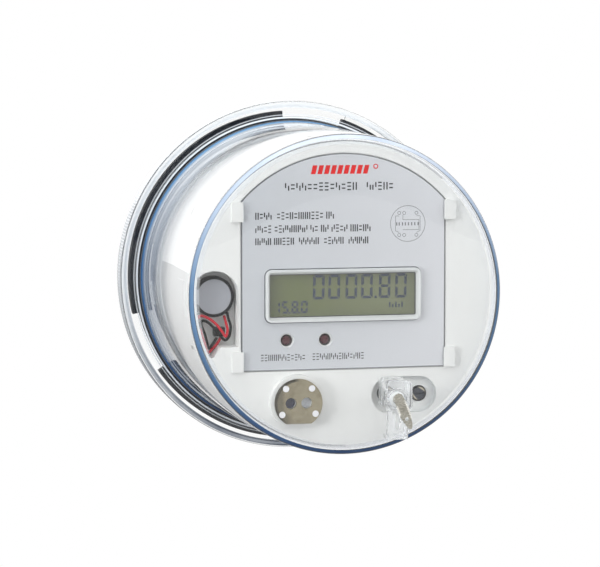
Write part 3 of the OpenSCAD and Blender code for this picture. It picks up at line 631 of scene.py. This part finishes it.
def nameplate_material():
    """Silver lacquer: very fine metal flake, painted light from side to side, light handling marks,
    painted highlights round the LED holes and a painted shadow line along its edge.
    """
    m = Mat("nameplate_silver", srgb(220, 222, 227), 0.42, metal=0.12, Specular_IOR_Level=0.35)
    flake = m.voronoi(5200)
    speck = m.remap(flake, 0.1, 0.6, 0.0, 1.0)
    # painted light: the plate lighter towards the right
    painted_side_light = m.remap(m.axis("X"), -0.05, 0.05)
    base = m.blend(painted_side_light, srgb(212, 216, 221), srgb(240, 241, 245))
    base = m.paint(base, srgb(188, 191, 198), speck, 0.5)
    spots = m.remap(m.noise(900, 3, 0.6), 0.64, 0.74)
    base = m.paint(base, srgb(236, 238, 242), spots, 0.25)
    # painted highlights: bright rings round the two LED holes
    for x in LED_X:
        edge = m.band(m.spot(x, LED_Z), 2.6, 3.35, 0.1)
        base = m.paint(base, srgb(250, 251, 252), edge, 0.85)
    # painted shadow: a dark line along the plate's sides, foot and arch, the shade of the gap round it
    width = m.math("ABSOLUTE", m.axis("X"))
    sides = m.remap(width, (PLATE_HALF - SHADOW_LINE_IN) * MM, (PLATE_HALF - SHADOW_LINE_FULL) * MM)
    foot = m.remap(m.axis("Z"), (PLATE_FOOT + SHADOW_LINE_IN) * MM, (PLATE_FOOT + SHADOW_LINE_FULL) * MM)
    arch = m.remap(m.spot(), (PLATE_ARCH - SHADOW_LINE_IN) * MM, (PLATE_ARCH - SHADOW_LINE_FULL) * MM)
    line = m.math("MAXIMUM", m.math("MAXIMUM", sides, foot), arch)
    m.set_color(m.paint(base, srgb(96, 99, 104), line, 0.85))
    m.set_rough(m.noise(40, 5), 0.36, 0.5)
    m.bump(flake, 0.1, 0.00002)
    return m.mat


# the display's centre, x and z
DISPLAY = (-0.4, -0.45)


def display_material():
    """Reflective olive display: soft unevenness, painted shade darker towards the frame, painted light
    lighter to the right, fine polariser grain.
    """
    m = Mat("display_olive", srgb(137, 142, 108), 0.45, Specular_IOR_Level=0.1)
    x = m.math("ABSOLUTE", m.math("SUBTRACT", m.axis("X"), DISPLAY[0] * MM))
    z = m.math("ABSOLUTE", m.math("SUBTRACT", m.axis("Z"), DISPLAY[1] * MM))
    # painted shadow of the frame: darker towards the display's edges
    edge = m.math("MAXIMUM", m.remap(x, 24 * MM, 34.5 * MM), m.remap(z, 4 * MM, 10.1 * MM))
    base = m.mottled(28, 3, 0.3, 0.7, srgb(112, 119, 72), srgb(118, 124, 79))
    # painted light: lighter towards the right
    base = m.blend(m.remap(m.axis("X"), -20 * MM, 34 * MM), base, srgb(140, 143, 112))
    m.set_color(m.paint(base, srgb(100, 104, 74), edge, 0.4))
    m.set_rough(m.noise(300, 3), 0.3, 0.42)
    m.bump(m.noise(3000, 2), 0.08, 0.00001)
    return m.mat


def glint_mask(m, at, across, low, high, along, start, end):
    """A painted highlight along an edge: beyond a distance from the point across the piece, and for a
    stretch along it.
    """
    x, z = at
    bx, bz = along
    shine = m.math("MULTIPLY", m.lean(x, z, *across, low, high), m.lean(x, z, bx, bz, start, start + 0.8))
    return m.math("MULTIPLY", shine, m.lean(x, z, -bx, -bz, -end, -end + 0.8))


def nickel_material(name, light, dark, rough, metal, streak=None, glints=()):
    """Nickel with a warm tone: stamped sheet, short scratches and darker rubbed patches. The streak is
    a painted dark reflection: a dark crescent, with a wider grey one round it, inside the left edge of
    a round plate of centre (x, z) and radius r. Each glint is a painted highlight, given as glint_mask
    takes it."""
    m = Mat(name, light, rough, metal=metal)
    patch = m.remap(m.noise(260, 6, 0.65), 0.42, 0.66)
    grain = m.noise(2600, 2)
    base = m.paint(light, dark, patch, 0.7)
    base = m.paint(base, scaled(light, 0.7), grain, 0.2)
    # painted highlights: near-white glints along the edges
    for glint in glints:
        base = m.paint(base, srgb(255, 253, 246), glint_mask(m, *glint), 0.95)
    if streak:
        # painted reflection: a dark crescent inside the plate's left edge, with a wider grey band round it
        x, z, r = streak
        crescent = m.band(m.spot(x, z), r - 1.15, r + 1, 0.25)
        crescent = m.math("MULTIPLY", crescent, m.lean(x, z, -0.95, 0.3, 2.5, 5.0))
        base = m.paint(base, srgb(16, 15, 14), crescent, 0.95)
        wide = m.band(m.spot(x, z), r - 4.5, r + 1, 1.2)
        wide = m.math("MULTIPLY", wide, m.lean(x, z, -1.0, -0.25, 4.0, 7.5))
        base = m.paint(base, srgb(70, 68, 62), wide, 0.6)
    # painted highlight: the convex edges lighter
    m.set_color(m.edge_wear_and_highlight(base, scaled(light, 1.3), 0.1))
    m.set_rough(m.noise(700, 5, 0.7, (1, 1, 3)), rough - 0.06, rough + 0.16)
    m.bump(grain, 0.3, 0.00002)
    return m.mat


nameplate_silver = nameplate_material()
display_olive = display_material()
# the optical port plate: its centre and radius
PORT = (-22.9, -50.2, 11.35)
# the streak paints a dark reflection inside the left edge of the port plate
port_nickel = nickel_material(
    "port_nickel", srgb(170, 161, 138), srgb(128, 120, 99), 0.36, 0.75, streak=PORT
)
# the paddle hangs 22 degrees off plumb: ALONG runs down it and ACROSS to its right
ALONG = (0.375, -0.927)
ACROSS = (0.927, 0.375)
plunger_nickel = nickel_material(
    "plunger_nickel", srgb(184, 181, 170), srgb(142, 139, 128), 0.2, 0.5,
    # painted highlights along the paddle's right and left edges
    glints=(
        (RESET, ACROSS, 1.65, 1.95, ALONG, 0.5, 12.5),
        (RESET, (-ACROSS[0], -ACROSS[1]), 1.75, 2.05, ALONG, 1.5, 7.0),
    ),
)
bezel_silver = plastic(
    "bezel_silver", srgb(226, 229, 230), 0.2, grain=0.06, tone=0.02, Metallic=0.25, Coat_Weight=0.5
)


def lens_material(name, deep, bright, rough=0.12):
    """A small tinted lens, darker where it turns away from view: painted shade towards its edge."""
    m = Mat(name, deep, rough, Coat_Weight=0.2)
    facing = m.add("LayerWeight", {"Blend": 0.35}).outputs["Facing"]
    m.set_color(m.blend(facing, m.mottled(900, 3, 0.35, 0.65, bright, scaled(bright, 0.8)), deep))
    m.set_rough(m.noise(500, 3), rough, rough + 0.1)
    m.bump(m.noise(400, 2), 0.1, 0.00003)
    return m.mat


led_red = lens_material("led_red", srgb(16, 4, 7), srgb(74, 26, 33), 0.16)
emitter_dark = lens_material("emitter_dark", srgb(20, 22, 40), srgb(62, 66, 92))
detector_clear = lens_material("detector_clear", srgb(150, 158, 172), srgb(225, 230, 238), 0.08)


def cell_material():
    """The cell's end under thin wrap: satin grey with faint stains."""
    m = Mat("cell_grey", srgb(162, 165, 174), 0.42, metal=0.35)
    base = m.mottled(120, 4, 0.35, 0.65, srgb(156, 160, 170), srgb(170, 173, 181))
    m.set_color(m.edge_wear_and_highlight(base, srgb(200, 202, 208), 0.4))
    m.set_rough(m.noise(300, 4), 0.36, 0.5)
    m.bump(m.noise(1800, 2), 0.2, 0.00002)
    return m.mat


def cap_material(name, color, at):
    """Button caps: worn dark plastic, black round the rim as painted shade of the gap, warm painted
    highlights at two sides of it.
    """
    m = Mat(name, color, 0.3)
    base = m.mottled(500, 4, 0.4, 0.6, color, scaled(color, 1.4))
    d = m.spot(*at)
    # painted shade: the cap's rim black, the shade of the gap round it
    base = m.blend(m.band(d, 2.75, 5, 0.15), base, srgb(6, 7, 10))
    # painted highlights: warm glints at two sides of the rim
    for ax, az in ((0.55, 0.84), (-0.8, -0.6)):
        glint = m.math("MULTIPLY", m.band(d, 2.2, 3.1, 0.2), m.lean(*at, ax, az, 2.1, 2.6))
        base = m.paint(base, srgb(226, 216, 196), glint, 0.85)
    m.set_color(m.edge_wear_and_highlight(base, srgb(120, 118, 112), 0.06))
    m.set_rough(m.noise(260, 4), 0.22, 0.42)
    m.bump(m.noise(2600, 2), 0.2, 0.00002)
    return m.mat


cell_grey = cell_material()
reset_cap = cap_material("reset_button_black", srgb(36, 40, 58), RESET)
test_cap = cap_material("test_button_grey", srgb(52, 56, 66), HOLES[1])
window_clear = clear("window_clear", (0.96, 0.98, 0.97), 0.01, 1.45)


def clear_plastic(name, body, zones, rough):
    """Clear polycarbonate with painted light, shade and highlights in some zones, where the wall is seen
    along its length. A zone is (inner radius, outer radius, front, back, (radial fade, depth fade),
    amount, (colour low down, at mid height, high up)), its sizes in millimetres."""
    m = Mat(name, body, rough, Transmission_Weight=1.0, IOR=1.49)
    color = m.mottled(18, 3, 0.3, 0.7, body, scaled(body, 0.985))
    radius, depth, up = m.spot(), m.axis("Y"), m.axis("Z")
    total = 0.0
    for inside, outside, front, back, (soft, fade), amount, (low, middle, high) in zones:
        ring = m.band(radius, inside, outside, soft)
        zone = m.math("MULTIPLY", ring, m.band(depth, front, back, fade))
        zone = m.math("MULTIPLY", zone, amount)
        # painted light and shade: each zone's colour darker low down and lighter high up
        tint = m.blend(m.remap(up, -75 * MM, -5 * MM), low, middle)
        tint = m.blend(m.remap(up, 5 * MM, 70 * MM), tint, high)
        cloud = m.remap(m.noise(60, 3), 0.3, 0.7, 0.0, 0.25)
        tint = m.blend(cloud, tint, scaled(middle, 1.2))
        color = m.blend(m.math("MULTIPLY", zone, 3.0, clamp=True), color, tint)
        total = m.math("MAXIMUM", total, zone)
    m.set_color(color)
    m.link(m.math("SUBTRACT", 1.0, total), "Transmission Weight")
    m.set_rough(m.noise(45, 4), rough * 0.4, rough * 1.6 + 0.004)
    m.bump(m.noise(16, 2), 0.1, 0.0004)
    return lamps_through(m, body)


# colours painted in the cover's zones, low down, at mid height and high up: painted light and shade, darker
# low down and lighter high up
# painted light: the blue the front rim shows when seen along its length
RIM_BLUE = (srgb(24, 58, 106), srgb(92, 124, 158), srgb(206, 216, 230))
# painted light: the blue band seen through the fillet where the side meets the flange
ROOT_BLUE = (srgb(24, 60, 108), srgb(42, 92, 142), srgb(100, 154, 200))
# painted shade on the flange's side and front, darker low down
SKIRT = (srgb(90, 98, 110), srgb(202, 208, 214), srgb(228, 232, 236))
LIP = (srgb(86, 94, 108), srgb(212, 218, 224), srgb(230, 234, 237))
# painted highlights: thin light lines inside the dark ring of the base
HIGHLIGHT_LINES = (srgb(214, 219, 224), srgb(224, 229, 233), srgb(232, 236, 240))
# painted shade: a grey band on the front just inside the rim
PALE = (srgb(190, 198, 208), srgb(205, 212, 220), srgb(214, 220, 226))
# painted image of the dark base seen dimly through the side wall, darker low down
ROOT_GREY = (srgb(54, 80, 120), srgb(132, 143, 158), srgb(216, 222, 228))
MILK = (srgb(236, 240, 244),) * 3
cover_clear = clear_plastic(
    "cover_clear",
    (0.988, 0.992, 0.99),
    (
        (72.8, 74.5, -129, -125.3, (0.22, 0.22), 0.9, RIM_BLUE),
        (70.2, 72.6, -129, -125.3, (0.25, 0.25), 0.15, PALE),
        (76.2, 79.3, -22, -14.4, (0.3, 0.5), 0.9, ROOT_BLUE),
        (73.0, 78.0, -47, -20.2, (0.4, 6), 0.6, ROOT_GREY),
        (79.6, 80.35, -14.6, -9.0, (0.12, 0.12), 0.85, HIGHLIGHT_LINES),
        (81.2, 81.55, -14.6, -9.0, (0.1, 0.12), 0.5, HIGHLIGHT_LINES),
        (85.0, 87.5, -14.6, -11.0, (0.2, 0.25), 0.45, LIP),
        (87.6, 89, -12.8, -1.5, (0.2, 0.2), 0.8, SKIRT),
    ),
    0.01,
)
guard_zone = (0, 95, -141, -119, (1, 1), 0.12, MILK)
guard_clear = clear_plastic("guard_clear", (0.99, 0.993, 0.995), (guard_zone,), 0.02)


# ---------------------------------------------------------------- cover

# steps round the cover: every second one is a groove of the flange's knurl
SEGMENTS = 720
# the front's two faces, and the centre of the round edge between front and side
FRONT, FRONT_INSIDE = -128, -125.5
RIM_AT = (71, -124)
# the flange: its outer and inner radius, how far the lugs reach in, and its inside face
FLANGE_R, FLANGE_IN, LUG_IN, FLANGE_Y = 88.25, 85.85, 80.9, -11.3
# the depth of the knurl's grooves
KNURL = 0.3
# the middle of each lug and half its width, in degrees
LUGS = (64.5, 186.3, 306.3)
LUG_HALF = 4.5
# the radius of the hole for the reset key's shaft
SHAFT_HOLE = 1.8


def cover_outside():
    """From the middle of the front out over the rim, down the side and round the flange."""
    line = [(0, FRONT), (40, FRONT), (70.6, FRONT)]
    line += circle(*RIM_AT, 4, 10, -90, 0)
    line += [(75.9, -86), (76.8, -50)]
    line += circle(79.4, -15.6, 1.8, 7, 180, 90)
    line += [(84, -13.8)] + circle(FLANGE_R - 1.2, -12.6, 1.2, 6, -90, 0)
    return line + [(FLANGE_R, -12.2), (FLANGE_R, -7), (FLANGE_R, -2.3)]


def cover_inside():
    """From the flange's rear edge in over the gasket groove, up the side and to the middle."""
    line = [(88.0, -1.9), (87.7, -1.8), (86.2, -1.8), (85.9, -1.95), (FLANGE_IN, -2.2)]
    line += [(FLANGE_IN, -4.0), (FLANGE_IN, -4.15), (FLANGE_IN, -8), (FLANGE_IN, -10.9), (85.6, FLANGE_Y)]
    line += [(80.4, FLANGE_Y), (80.2, -11.1), (80.2, -9.6), (80.0, -9.4)]
    line += [(79.6, -9.4), (79.4, -9.6), (79.4, FLANGE_Y)]
    line += [(76.2, FLANGE_Y), (75.4, -11.35), (75.1, -11.8), (74.6, -35), (73.6, -78)]
    line += circle(*RIM_AT, 1.5, 6, 0, -90)
    return line + [(40, FRONT_INSIDE), (0, FRONT_INSIDE)]


def build_cover():
    """The clear cover, with its knurled flange, three lugs and the bore of the reset key."""

    def shape(i, r, y):
        angle = 360 * i / SEGMENTS
        if abs(r - FLANGE_R) < 0.01 and -12.3 < y < -2.2:
            return -KNURL if i % 2 else 0.0
        if FLANGE_IN - 0.05 < r < FLANGE_IN + 0.15 and y > -4.1:
            for a in LUGS:
                if abs((angle - a + 180) % 360 - 180) <= LUG_HALF:
                    return LUG_IN - r
        return 0.0

    o = lathe("cover_shell", cover_outside() + cover_inside(), SEGMENTS, shape)
    drill = disc("drill", *RESET, SHAFT_HOLE, FRONT - 2, -120, 40)
    return boolean(o, [drill], "DIFFERENCE")


finish(build_cover(), cover_clear, "cover_unit", ["cover"])


# ---------------------------------------------------------------- nameplate print and display


def bars(name, items, y0, y1, mat):
    """Flat printed shapes, each an outline of (x, z) in millimetres, as one thin piece."""
    parts = [prism(f"{name}_{k}", pts, y0, y1) for k, pts in enumerate(items)]
    finish(join(name, parts), mat, "meter")


def stroke(x0, z0, x1, z1, w):
    """A straight pen stroke from one point to another."""
    d = Vector((x1 - x0, z1 - z0))
    n = Vector((-d.y, d.x)).normalized() * w / 2
    return [(x0 + n.x, z0 + n.y), (x0 - n.x, z0 - n.y), (x1 - n.x, z1 - n.y), (x1 + n.x, z1 + n.y)]


def ring_piece(cx, cz, r0, r1, n):
    """A ring as one outline, with a hair of a gap where it starts."""
    return circle(cx, cz, r1, n, 0, 359.99) + circle(cx, cz, r0, n, 0, 359.99)[::-1]


def tally_line(rng, x, z, height, pitch, words, weight):
    """A line of plain tally strokes grouped like words. None of them is a letter. Words are counts of
    marks, and a negative count is a gap in half pitches."""
    out = []
    w, h = pitch * 0.66, height
    shapes = (
        ((0.1, 0, 0.1, 1), (0.9, 0, 0.9, 1)),
        ((0, 0.05, 1, 0.05), (0, 0.5, 1, 0.5), (0, 0.95, 1, 0.95)),
        ((0.1, 0, 0.1, 0.65), (0.9, 0.35, 0.9, 1)),
        ((0.1, 0.35, 0.1, 1), (0.9, 0, 0.9, 0.65)),
        ((0, 0.25, 1, 0.25), (0, 0.75, 1, 0.75)),
    )
    for word in words:
        if word > 0:
            for _ in range(word):
                for x0, z0, x1, z1 in shapes[rng.randrange(len(shapes))]:
                    out.append(stroke(x + x0 * w, z + z0 * h, x + x1 * w, z + z1 * h, weight))
                x += pitch
        else:
            x += pitch * -word * 0.5
    return out


def ink(name, color):
    """Matt printing ink, slightly uneven."""
    m = Mat(name, color, 0.5)
    m.set_color(m.mottled(900, 4, 0.35, 0.7, color, scaled(color, 1.5)))
    m.set_rough(m.noise(500, 3), 0.4, 0.6)
    m.bump(m.noise(3000, 2), 0.1, 0.00001)
    return m.mat


ink_black = ink("ink_black", srgb(30, 31, 35))
ink_grey = ink("ink_grey", srgb(92, 95, 100))
# a dim grey, not print: the painted shadow round the bezel
painted_shadow_grey = ink("painted_shadow_grey", srgb(84, 87, 92))
ink_red = ink("ink_red", srgb(206, 20, 22))
segment_blue = ink("segment_blue", srgb(38, 48, 70))

# the nameplate's face and the front of the print on it
PLATE = -119.9
PRINT = PLATE - 0.03


def build_rows():
    """The rows of tally strokes: start, height, pitch, words and stroke width of each."""
    rng = random.Random(11)
    rows = []
    for x, z, height, pitch, words, weight in (
        (-28.2, 48.6, 3.6, 2.7, (13, -3, 5), 0.6),
        (-42.3, 35.3, 3.3, 2.05, (4, -2, 11, -1, 2), 0.55),
        (-42.3, 29.2, 3.3, 2.02, (4, -1, 8, -1, 2, -1, 2, -1, 4, -1, 5), 0.55),
        (-42.3, 23.5, 3.2, 1.98, (4, -1, 5, -2, 5, -2, 5, -2, 5), 0.55),
        (-39.8, -30.6, 2.9, 1.8, (12,), 0.4),
        (-15.1, -30.6, 2.9, 1.8, (14,), 0.4),
    ):
        rows += tally_line(rng, x, z, height, pitch, words, weight)
    bars("plate_rows", rows, PRINT, PLATE, ink_black)


def build_mark():
    """A plain row of slanted red bars with a small ring."""
    mark = []
    for k in range(9):
        x = -16.0 + k * 3.12
        mark.append([(x, 56.2), (x + 2.2, 56.2), (x + 3.2, 60.3), (x + 1.0, 60.3)])
    bars("plate_mark", mark, PRINT, PLATE, ink_red)
    dot = [ring_piece(15.2, 59.6, 0.75, 1.2, 24)]
    bars("plate_mark_ring", dot, PRINT, PLATE, ink_red)


def build_diagram():
    """A generic terminal sketch in a circle: six terminals, eight ticks and the lines between them."""
    cx, cz, r = 30.8, 32.5, 8.55
    lines = [ring_piece(cx, cz, r - 0.22, r, 72)]
    for z in (5.0, -5.4):
        for x in (-4.2, -1.8, 4.2):
            lines.append(ring_piece(cx + x, cz + z, 0.62, 0.84, 20))
    for x in (-5.4, -4.2, -2.6, -1.2, 0.3, 1.9, 3.4, 5.0):
        lines.append(stroke(cx + x, cz - 0.9, cx + x, cz + 0.6, 0.5))
    for a, b in (
        ((-6, 3.6), (-6, -3.4)), ((-6, 3.6), (-4.2, 3.6)), ((6, 3.6), (6, -3.4)),
        ((4.2, 3.6), (6, 3.6)), ((-2.4, 1.8), (5.4, 1.8)), ((-2.4, -2.9), (5.4, -2.9)),
        ((-2.4, 1.8), (-2.4, 4)), ((5.4, 1.8), (5.4, -2.9)), ((-6, -3.4), (-4.2, -4.2)),
        ((6, -3.4), (4.2, -4.2)),
    ):
        lines.append(stroke(cx + a[0], cz + a[1], cx + b[0], cz + b[1], 0.2))
    bars("plate_diagram", lines, PRINT, PLATE, ink_grey)


def display_ring(name, width, height, radius, border, inner_radius, y0, y1):
    """A flat frame round the display's centre."""
    hole = rounded(*DISPLAY, width - 2 * border, height - 2 * border, inner_radius)
    return prism(name, rounded(*DISPLAY, width, height, radius), y0, y1, [hole])


build_rows()
build_mark()
build_diagram()
# painted shadow: a thin dim ring on the plate round the bezel, where the gap between them lies
shadow_line = display_ring("frame_line", 75.5, 25.5, 3.4, 0.5, 2.9, PRINT, PLATE)
finish(shadow_line, painted_shadow_grey, "meter")

# the segments that make each figure
SEGMENTS_ON = {
    "0": "abcdef", "1": "bc", "2": "abged", "3": "abgcd", "4": "fgbc",
    "5": "afgcd", "6": "afgedc", "7": "abc", "8": "abcdefg", "9": "abfgcd",
}


# how far the figures slant, per unit of height
SLANT = 0.02


def digit(value, x, z, w, h, t):
    """One seven-segment figure: lower left corner, width, height and segment thickness."""
    g, m = t * 0.32, h / 2
    raw = {
        "a": [(g, h), (w - g, h), (w - t, h - t), (t, h - t)],
        "d": [(t, t), (w - t, t), (w - g, 0), (g, 0)],
        "g": [
            (t * 0.7, m), (t, m + t / 2), (w - t, m + t / 2),
            (w - t * 0.7, m), (w - t, m - t / 2), (t, m - t / 2),
        ],
        "f": [(0, h - g), (t, h - t - g), (t, m + t * 0.75), (0, m + t * 0.3)],
        "b": [(w, h - g), (w, m + t * 0.3), (w - t, m + t * 0.75), (w - t, h - t - g)],
        "e": [(0, m - t * 0.3), (t, m - t * 0.75), (t, t + g), (0, g)],
        "c": [(w, m - t * 0.3), (w, g), (w - t, t + g), (w - t, m - t * 0.75)],
    }
    return [[(x + px + SLANT * pz, z + pz) for px, pz in raw[s]] for s in SEGMENTS_ON[value]]


# the digits' front and back: a hair in front of the display's face
INK_FRONT, INK_BACK = -119.1, -118.98


def build_digits():
    """The large reading, the small code at lower left and plain bars where the unit would be."""
    shapes = []
    for value, x in zip("000080", (-14.9, -7.5, 0.8, 8.3, 16.9, 24.8)):
        shapes += digit(value, x, -2.4, 5.55, 11.5, 1.25)
    shapes.append(rounded(15.4, -1.8, 1.2, 1.2, 0.25, 3))
    for value, x in zip("1580", (-33.8, -29.8, -25.1, -20.6)):
        shapes += digit(value, x, -8.7, 3.2, 5.8, 0.95)
    for px in (-26.0, -21.4):
        shapes.append(rounded(px, -8.4, 0.8, 0.8, 0.15, 3))
    for px, top in ((22.3, -4.3), (23.8, -5.3), (25.3, -4.3), (26.8, -5.3), (28.3, -4.3)):
        shapes.append(stroke(px, -6.9, px, top, 0.7))
    bars("display_digits", shapes, INK_FRONT, INK_BACK, segment_blue)


build_digits()
seal = display_ring("display_seal", 70.6, 20.4, 0.7, 0.55, 0.3, INK_FRONT - 0.02, INK_BACK)
finish(seal, ink_black, "meter")
pane = prism("display_pane", rounded(*DISPLAY, 72.6, 22.4, 0.3, 3), -119.86, -119.2)
finish(pane, window_clear, "meter", ["lcd_window"])


# ---------------------------------------------------------------- leads

# the two leads' routes, (x, y, z), as they lie in the well from the cell to the connector
RED = [
    (-55.3, -109, -10.2), (-54.9, -111.6, -13.3), (-54.4, -113, -16.5), (-55.3, -113.3, -19.4),
    (-57, -113.6, -17.3), (-59.9, -113.8, -13.6), (-63.8, -113.9, -10.6), (-67.6, -113.7, -9.4),
    (-68.4, -113, -11.8), (-67.2, -112.2, -16.5), (-65.2, -111.2, -22.5), (-64.3, -110.6, -25.6),
    (-63.6, -110.3, -27.2), (-62.6, -110.1, -26.9), (-60.7, -110, -24.9), (-58.7, -110, -22.6),
    (-57.3, -110, -20.3),
]
BLACK = [
    (-53.9, -109, -8.6), (-53.6, -111, -11.4), (-52.8, -112.2, -14.9), (-53.5, -112.5, -19.3),
    (-55.7, -112.4, -21.2), (-58.3, -112.3, -18.6), (-61, -112.3, -15.3), (-63.8, -112.3, -12.7),
    (-66.2, -112.2, -11.9), (-66.9, -111.8, -13.6), (-65.2, -111.1, -18), (-63.8, -110.3, -22.6),
    (-63.2, -109.4, -25), (-62.3, -109, -25.1), (-61.4, -109, -23.9), (-60.2, -109.3, -22.1),
    (-59.1, -109.6, -20.3),
]
for lead, points, mat in (("red", RED, wire_red), ("black", BLACK, wire_black)):
    piece = sweep(f"lead_{lead}", route(points), 0.64)
    finish(piece, mat, "meter", [f"battery_lead_{lead}"])


# ---------------------------------------------------------------- bezel and guard


def loft(name, loops):
    """A closed band through outlines of equal length, each an (outline, y) pair."""
    bm = bmesh.new()
    rings = [[bm.verts.new((x * MM, y * MM, z * MM)) for x, z in pts] for pts, y in loops]
    for a, b in zip(rings, rings[1:] + rings[:1]):
        for i in range(len(a)):
            j = (i + 1) % len(a)
            bm.faces.new((a[i], a[j], b[j], b[i]))
    return from_bmesh(bm, name)


def box_piece(name, x0, x1, y0, y1, z0, z1):
    return prism(name, [(x0, z0), (x1, z0), (x1, z1), (x0, z1)], y0, y1)


def build_bezel():
    """Display frame: a rounded lip and an inner wall that slopes down to the window."""
    back, front = -119.92, -122.1
    loops = [
        (rounded(*DISPLAY, w, h, r), y)
        for w, h, r, y in (
            (74.6, 24.6, 3.0, back),
            (74.6, 24.6, 3.0, front + 0.5),
            (74.2, 24.2, 2.8, front + 0.12),
            (73.6, 23.6, 2.5, front),
            (72.6, 22.6, 2.0, front),
            (72.1, 22.1, 1.75, front + 0.15),
            (70.2, 20.0, 0.7, back),
        )
    ]
    return loft("bezel_frame", loops)


finish(build_bezel(), bezel_silver, "meter", ["lcd_bezel"])

# the guard block's centre, width, height and corner radius
GUARD = (22.75, -46.5, 12.3, 13.8, 2.4)


def build_guard():
    """Clear guard block with its hub and hanging tongue, a hair in front of the cover."""
    back, front, hub = FRONT - 0.06, -137.0, -139.0
    block = bevelled(prism("guard_shell", rounded(*GUARD), front, back), 0.45, 3)
    ring = bevelled(disc("hub", *RESET, 5, hub, front + 1.5), 0.3, 2)
    tongue = bevelled(box_piece("tongue", 16.8, 26.4, front, front + 2.6, -67.2, -52.6), 0.35, 2)
    left = bevelled(box_piece("left_rib", 16.8, 18.8, front - 1.4, front + 2.2, -67.0, -53.6), 0.3, 2)
    right = bevelled(box_piece("right_rib", 24.4, 26.4, front - 1.4, front + 2.2, -67.0, -61.2), 0.3, 2)
    foot = bevelled(box_piece("foot", 17.0, 26.2, front + 0.4, back, -67.2, -65.2), 0.3, 2)
    o = boolean(block, [ring, tongue, left, right, foot], "UNION")
    bore_end = -130.2
    cutters = [
        disc("bore", *RESET, 4, hub - 1, bore_end),
        disc("shaft_way", *RESET, SHAFT_HOLE, hub - 1, back + 1),
        box_piece("slot", 20.7, 23.1, front - 3, front + 3.6, -62.7, -54.9),
        disc("wire_way", 24.75, -58.7, 0.9, -141, -133, 32),
    ]
    for side in (-3.95, 3.95):
        x = RESET[0] + side
        cutters.append(box_piece("key", x - 0.65, x + 0.65, hub - 1, bore_end, -48.9, -47.1))
    return boolean(o, cutters, "DIFFERENCE")


finish(build_guard(), guard_clear, "cover_unit", ["reset_guard"])


def build_skirt():
    """Clear frame standing behind the cover's front, in line with the guard block."""
    cx, cz, width, height, radius = GUARD
    hole = rounded(cx, cz, width - 2.4, height - 2.4, 1.2)
    return prism("guard_frame", rounded(*GUARD), FRONT_INSIDE + 0.06, -120.4, [hole])


finish(build_skirt(), guard_clear, "cover_unit", ["guard_skirt"], bevel=0.15)


# ---------------------------------------------------------------- CAD nodes with their finishes

# each node's material and the width of its softened edges
LOOKS = {
    "base_housing": (base_black, 0.3),
    "base_feet": (base_black, 0.4),
    "cover_gasket": (gasket, 0.2),
    "potential_blades": (blade_tin, 0.25),
    "blade_pins": (steel, 0),
    "bar_screws": (steel, 0.15),
    "transformer_leads": (lead_blue, 0), "potential_leads": (lead_yellow, 0),
    "power_board": (board, 0.1), "main_board": (board, 0.1), "display_board": (board, 0.1),
    "power_transformer": (winding, 0.5), "power_capacitors": (cap_blue, 0.4),
    "surge_varistors": (varistor, 0.5),
    "board_spacers": (brass, 0.15), "meter_chips": (chip, 0.12), "board_header": (chip, 0.12),
    "board_screws": (steel, 0.15), "display_screws": (steel, 0.12),
    "inner_shroud": (white_shroud, 0.25),
    "front_plate": (white_face, 0.35),
    "nameplate": (nameplate_silver, 0.12),
    "lcd_panel": (display_olive, 0),
    "pulse_led_1": (led_red, 0), "pulse_led_2": (led_red, 0),
    "optical_port_plate": (port_nickel, 0.2),
    "optical_rivets": (rivet, 0.3),
    "optical_emitter": (emitter_dark, 0), "optical_detector": (detector_clear, 0),
    "reset_switch": (switch, 0.15), "test_switch": (switch, 0.15),
    "reset_button": (reset_cap, 0.3), "test_button": (test_cap, 0.3),
    "battery": (cell_grey, 0.5), "battery_sleeve": (sleeve, 0.4), "battery_connector": (connector, 0.2),
    "reset_spring": (spring, 0),
    "reset_collar": (collar, 0.2),
    "reset_plunger": (plunger_nickel, 0.35),
    "retaining_clip": (dark_clip, 0.08),
}
for k in range(1, 7):
    LOOKS[f"current_blade_{k}"] = (blade_tin, 0.25)
for phase in "abc":
    LOOKS[f"current_bar_{phase}"] = (copper, 0.2)
    LOOKS[f"current_transformer_{phase}"] = (blue_pot, 0.5)
for name, (mat, width) in LOOKS.items():
    cad(name, mat, width)


# ---------------------------------------------------------------- floor


def build_floor():
    """A wide white floor, pure white where it is seen and dimmer where it only reflects light."""
    bm = bmesh.new()
    bmesh.ops.create_grid(bm, x_segments=1, y_segments=1, size=30)
    o = from_bmesh(bm, "floor")
    o.location = (0, 0, -0.34)
    m = bpy.data.materials.new("floor_white")
    t = new_tree(m)
    seen = unscattered(t, add_node(t, "LightPath").outputs, "Is Camera Ray", "Is Transmission Ray")
    glow, dim = (add_node(t, "Emission", {"Strength": v}).outputs[0] for v in (1.0, 0.42))
    mix = add_node(t, "MixShader", {"Fac": seen, 1: dim, 2: glow})
    add_node(t, "OutputMaterial", {"Surface": mix.outputs[0]})
    o.data.materials.append(m)


build_floor()
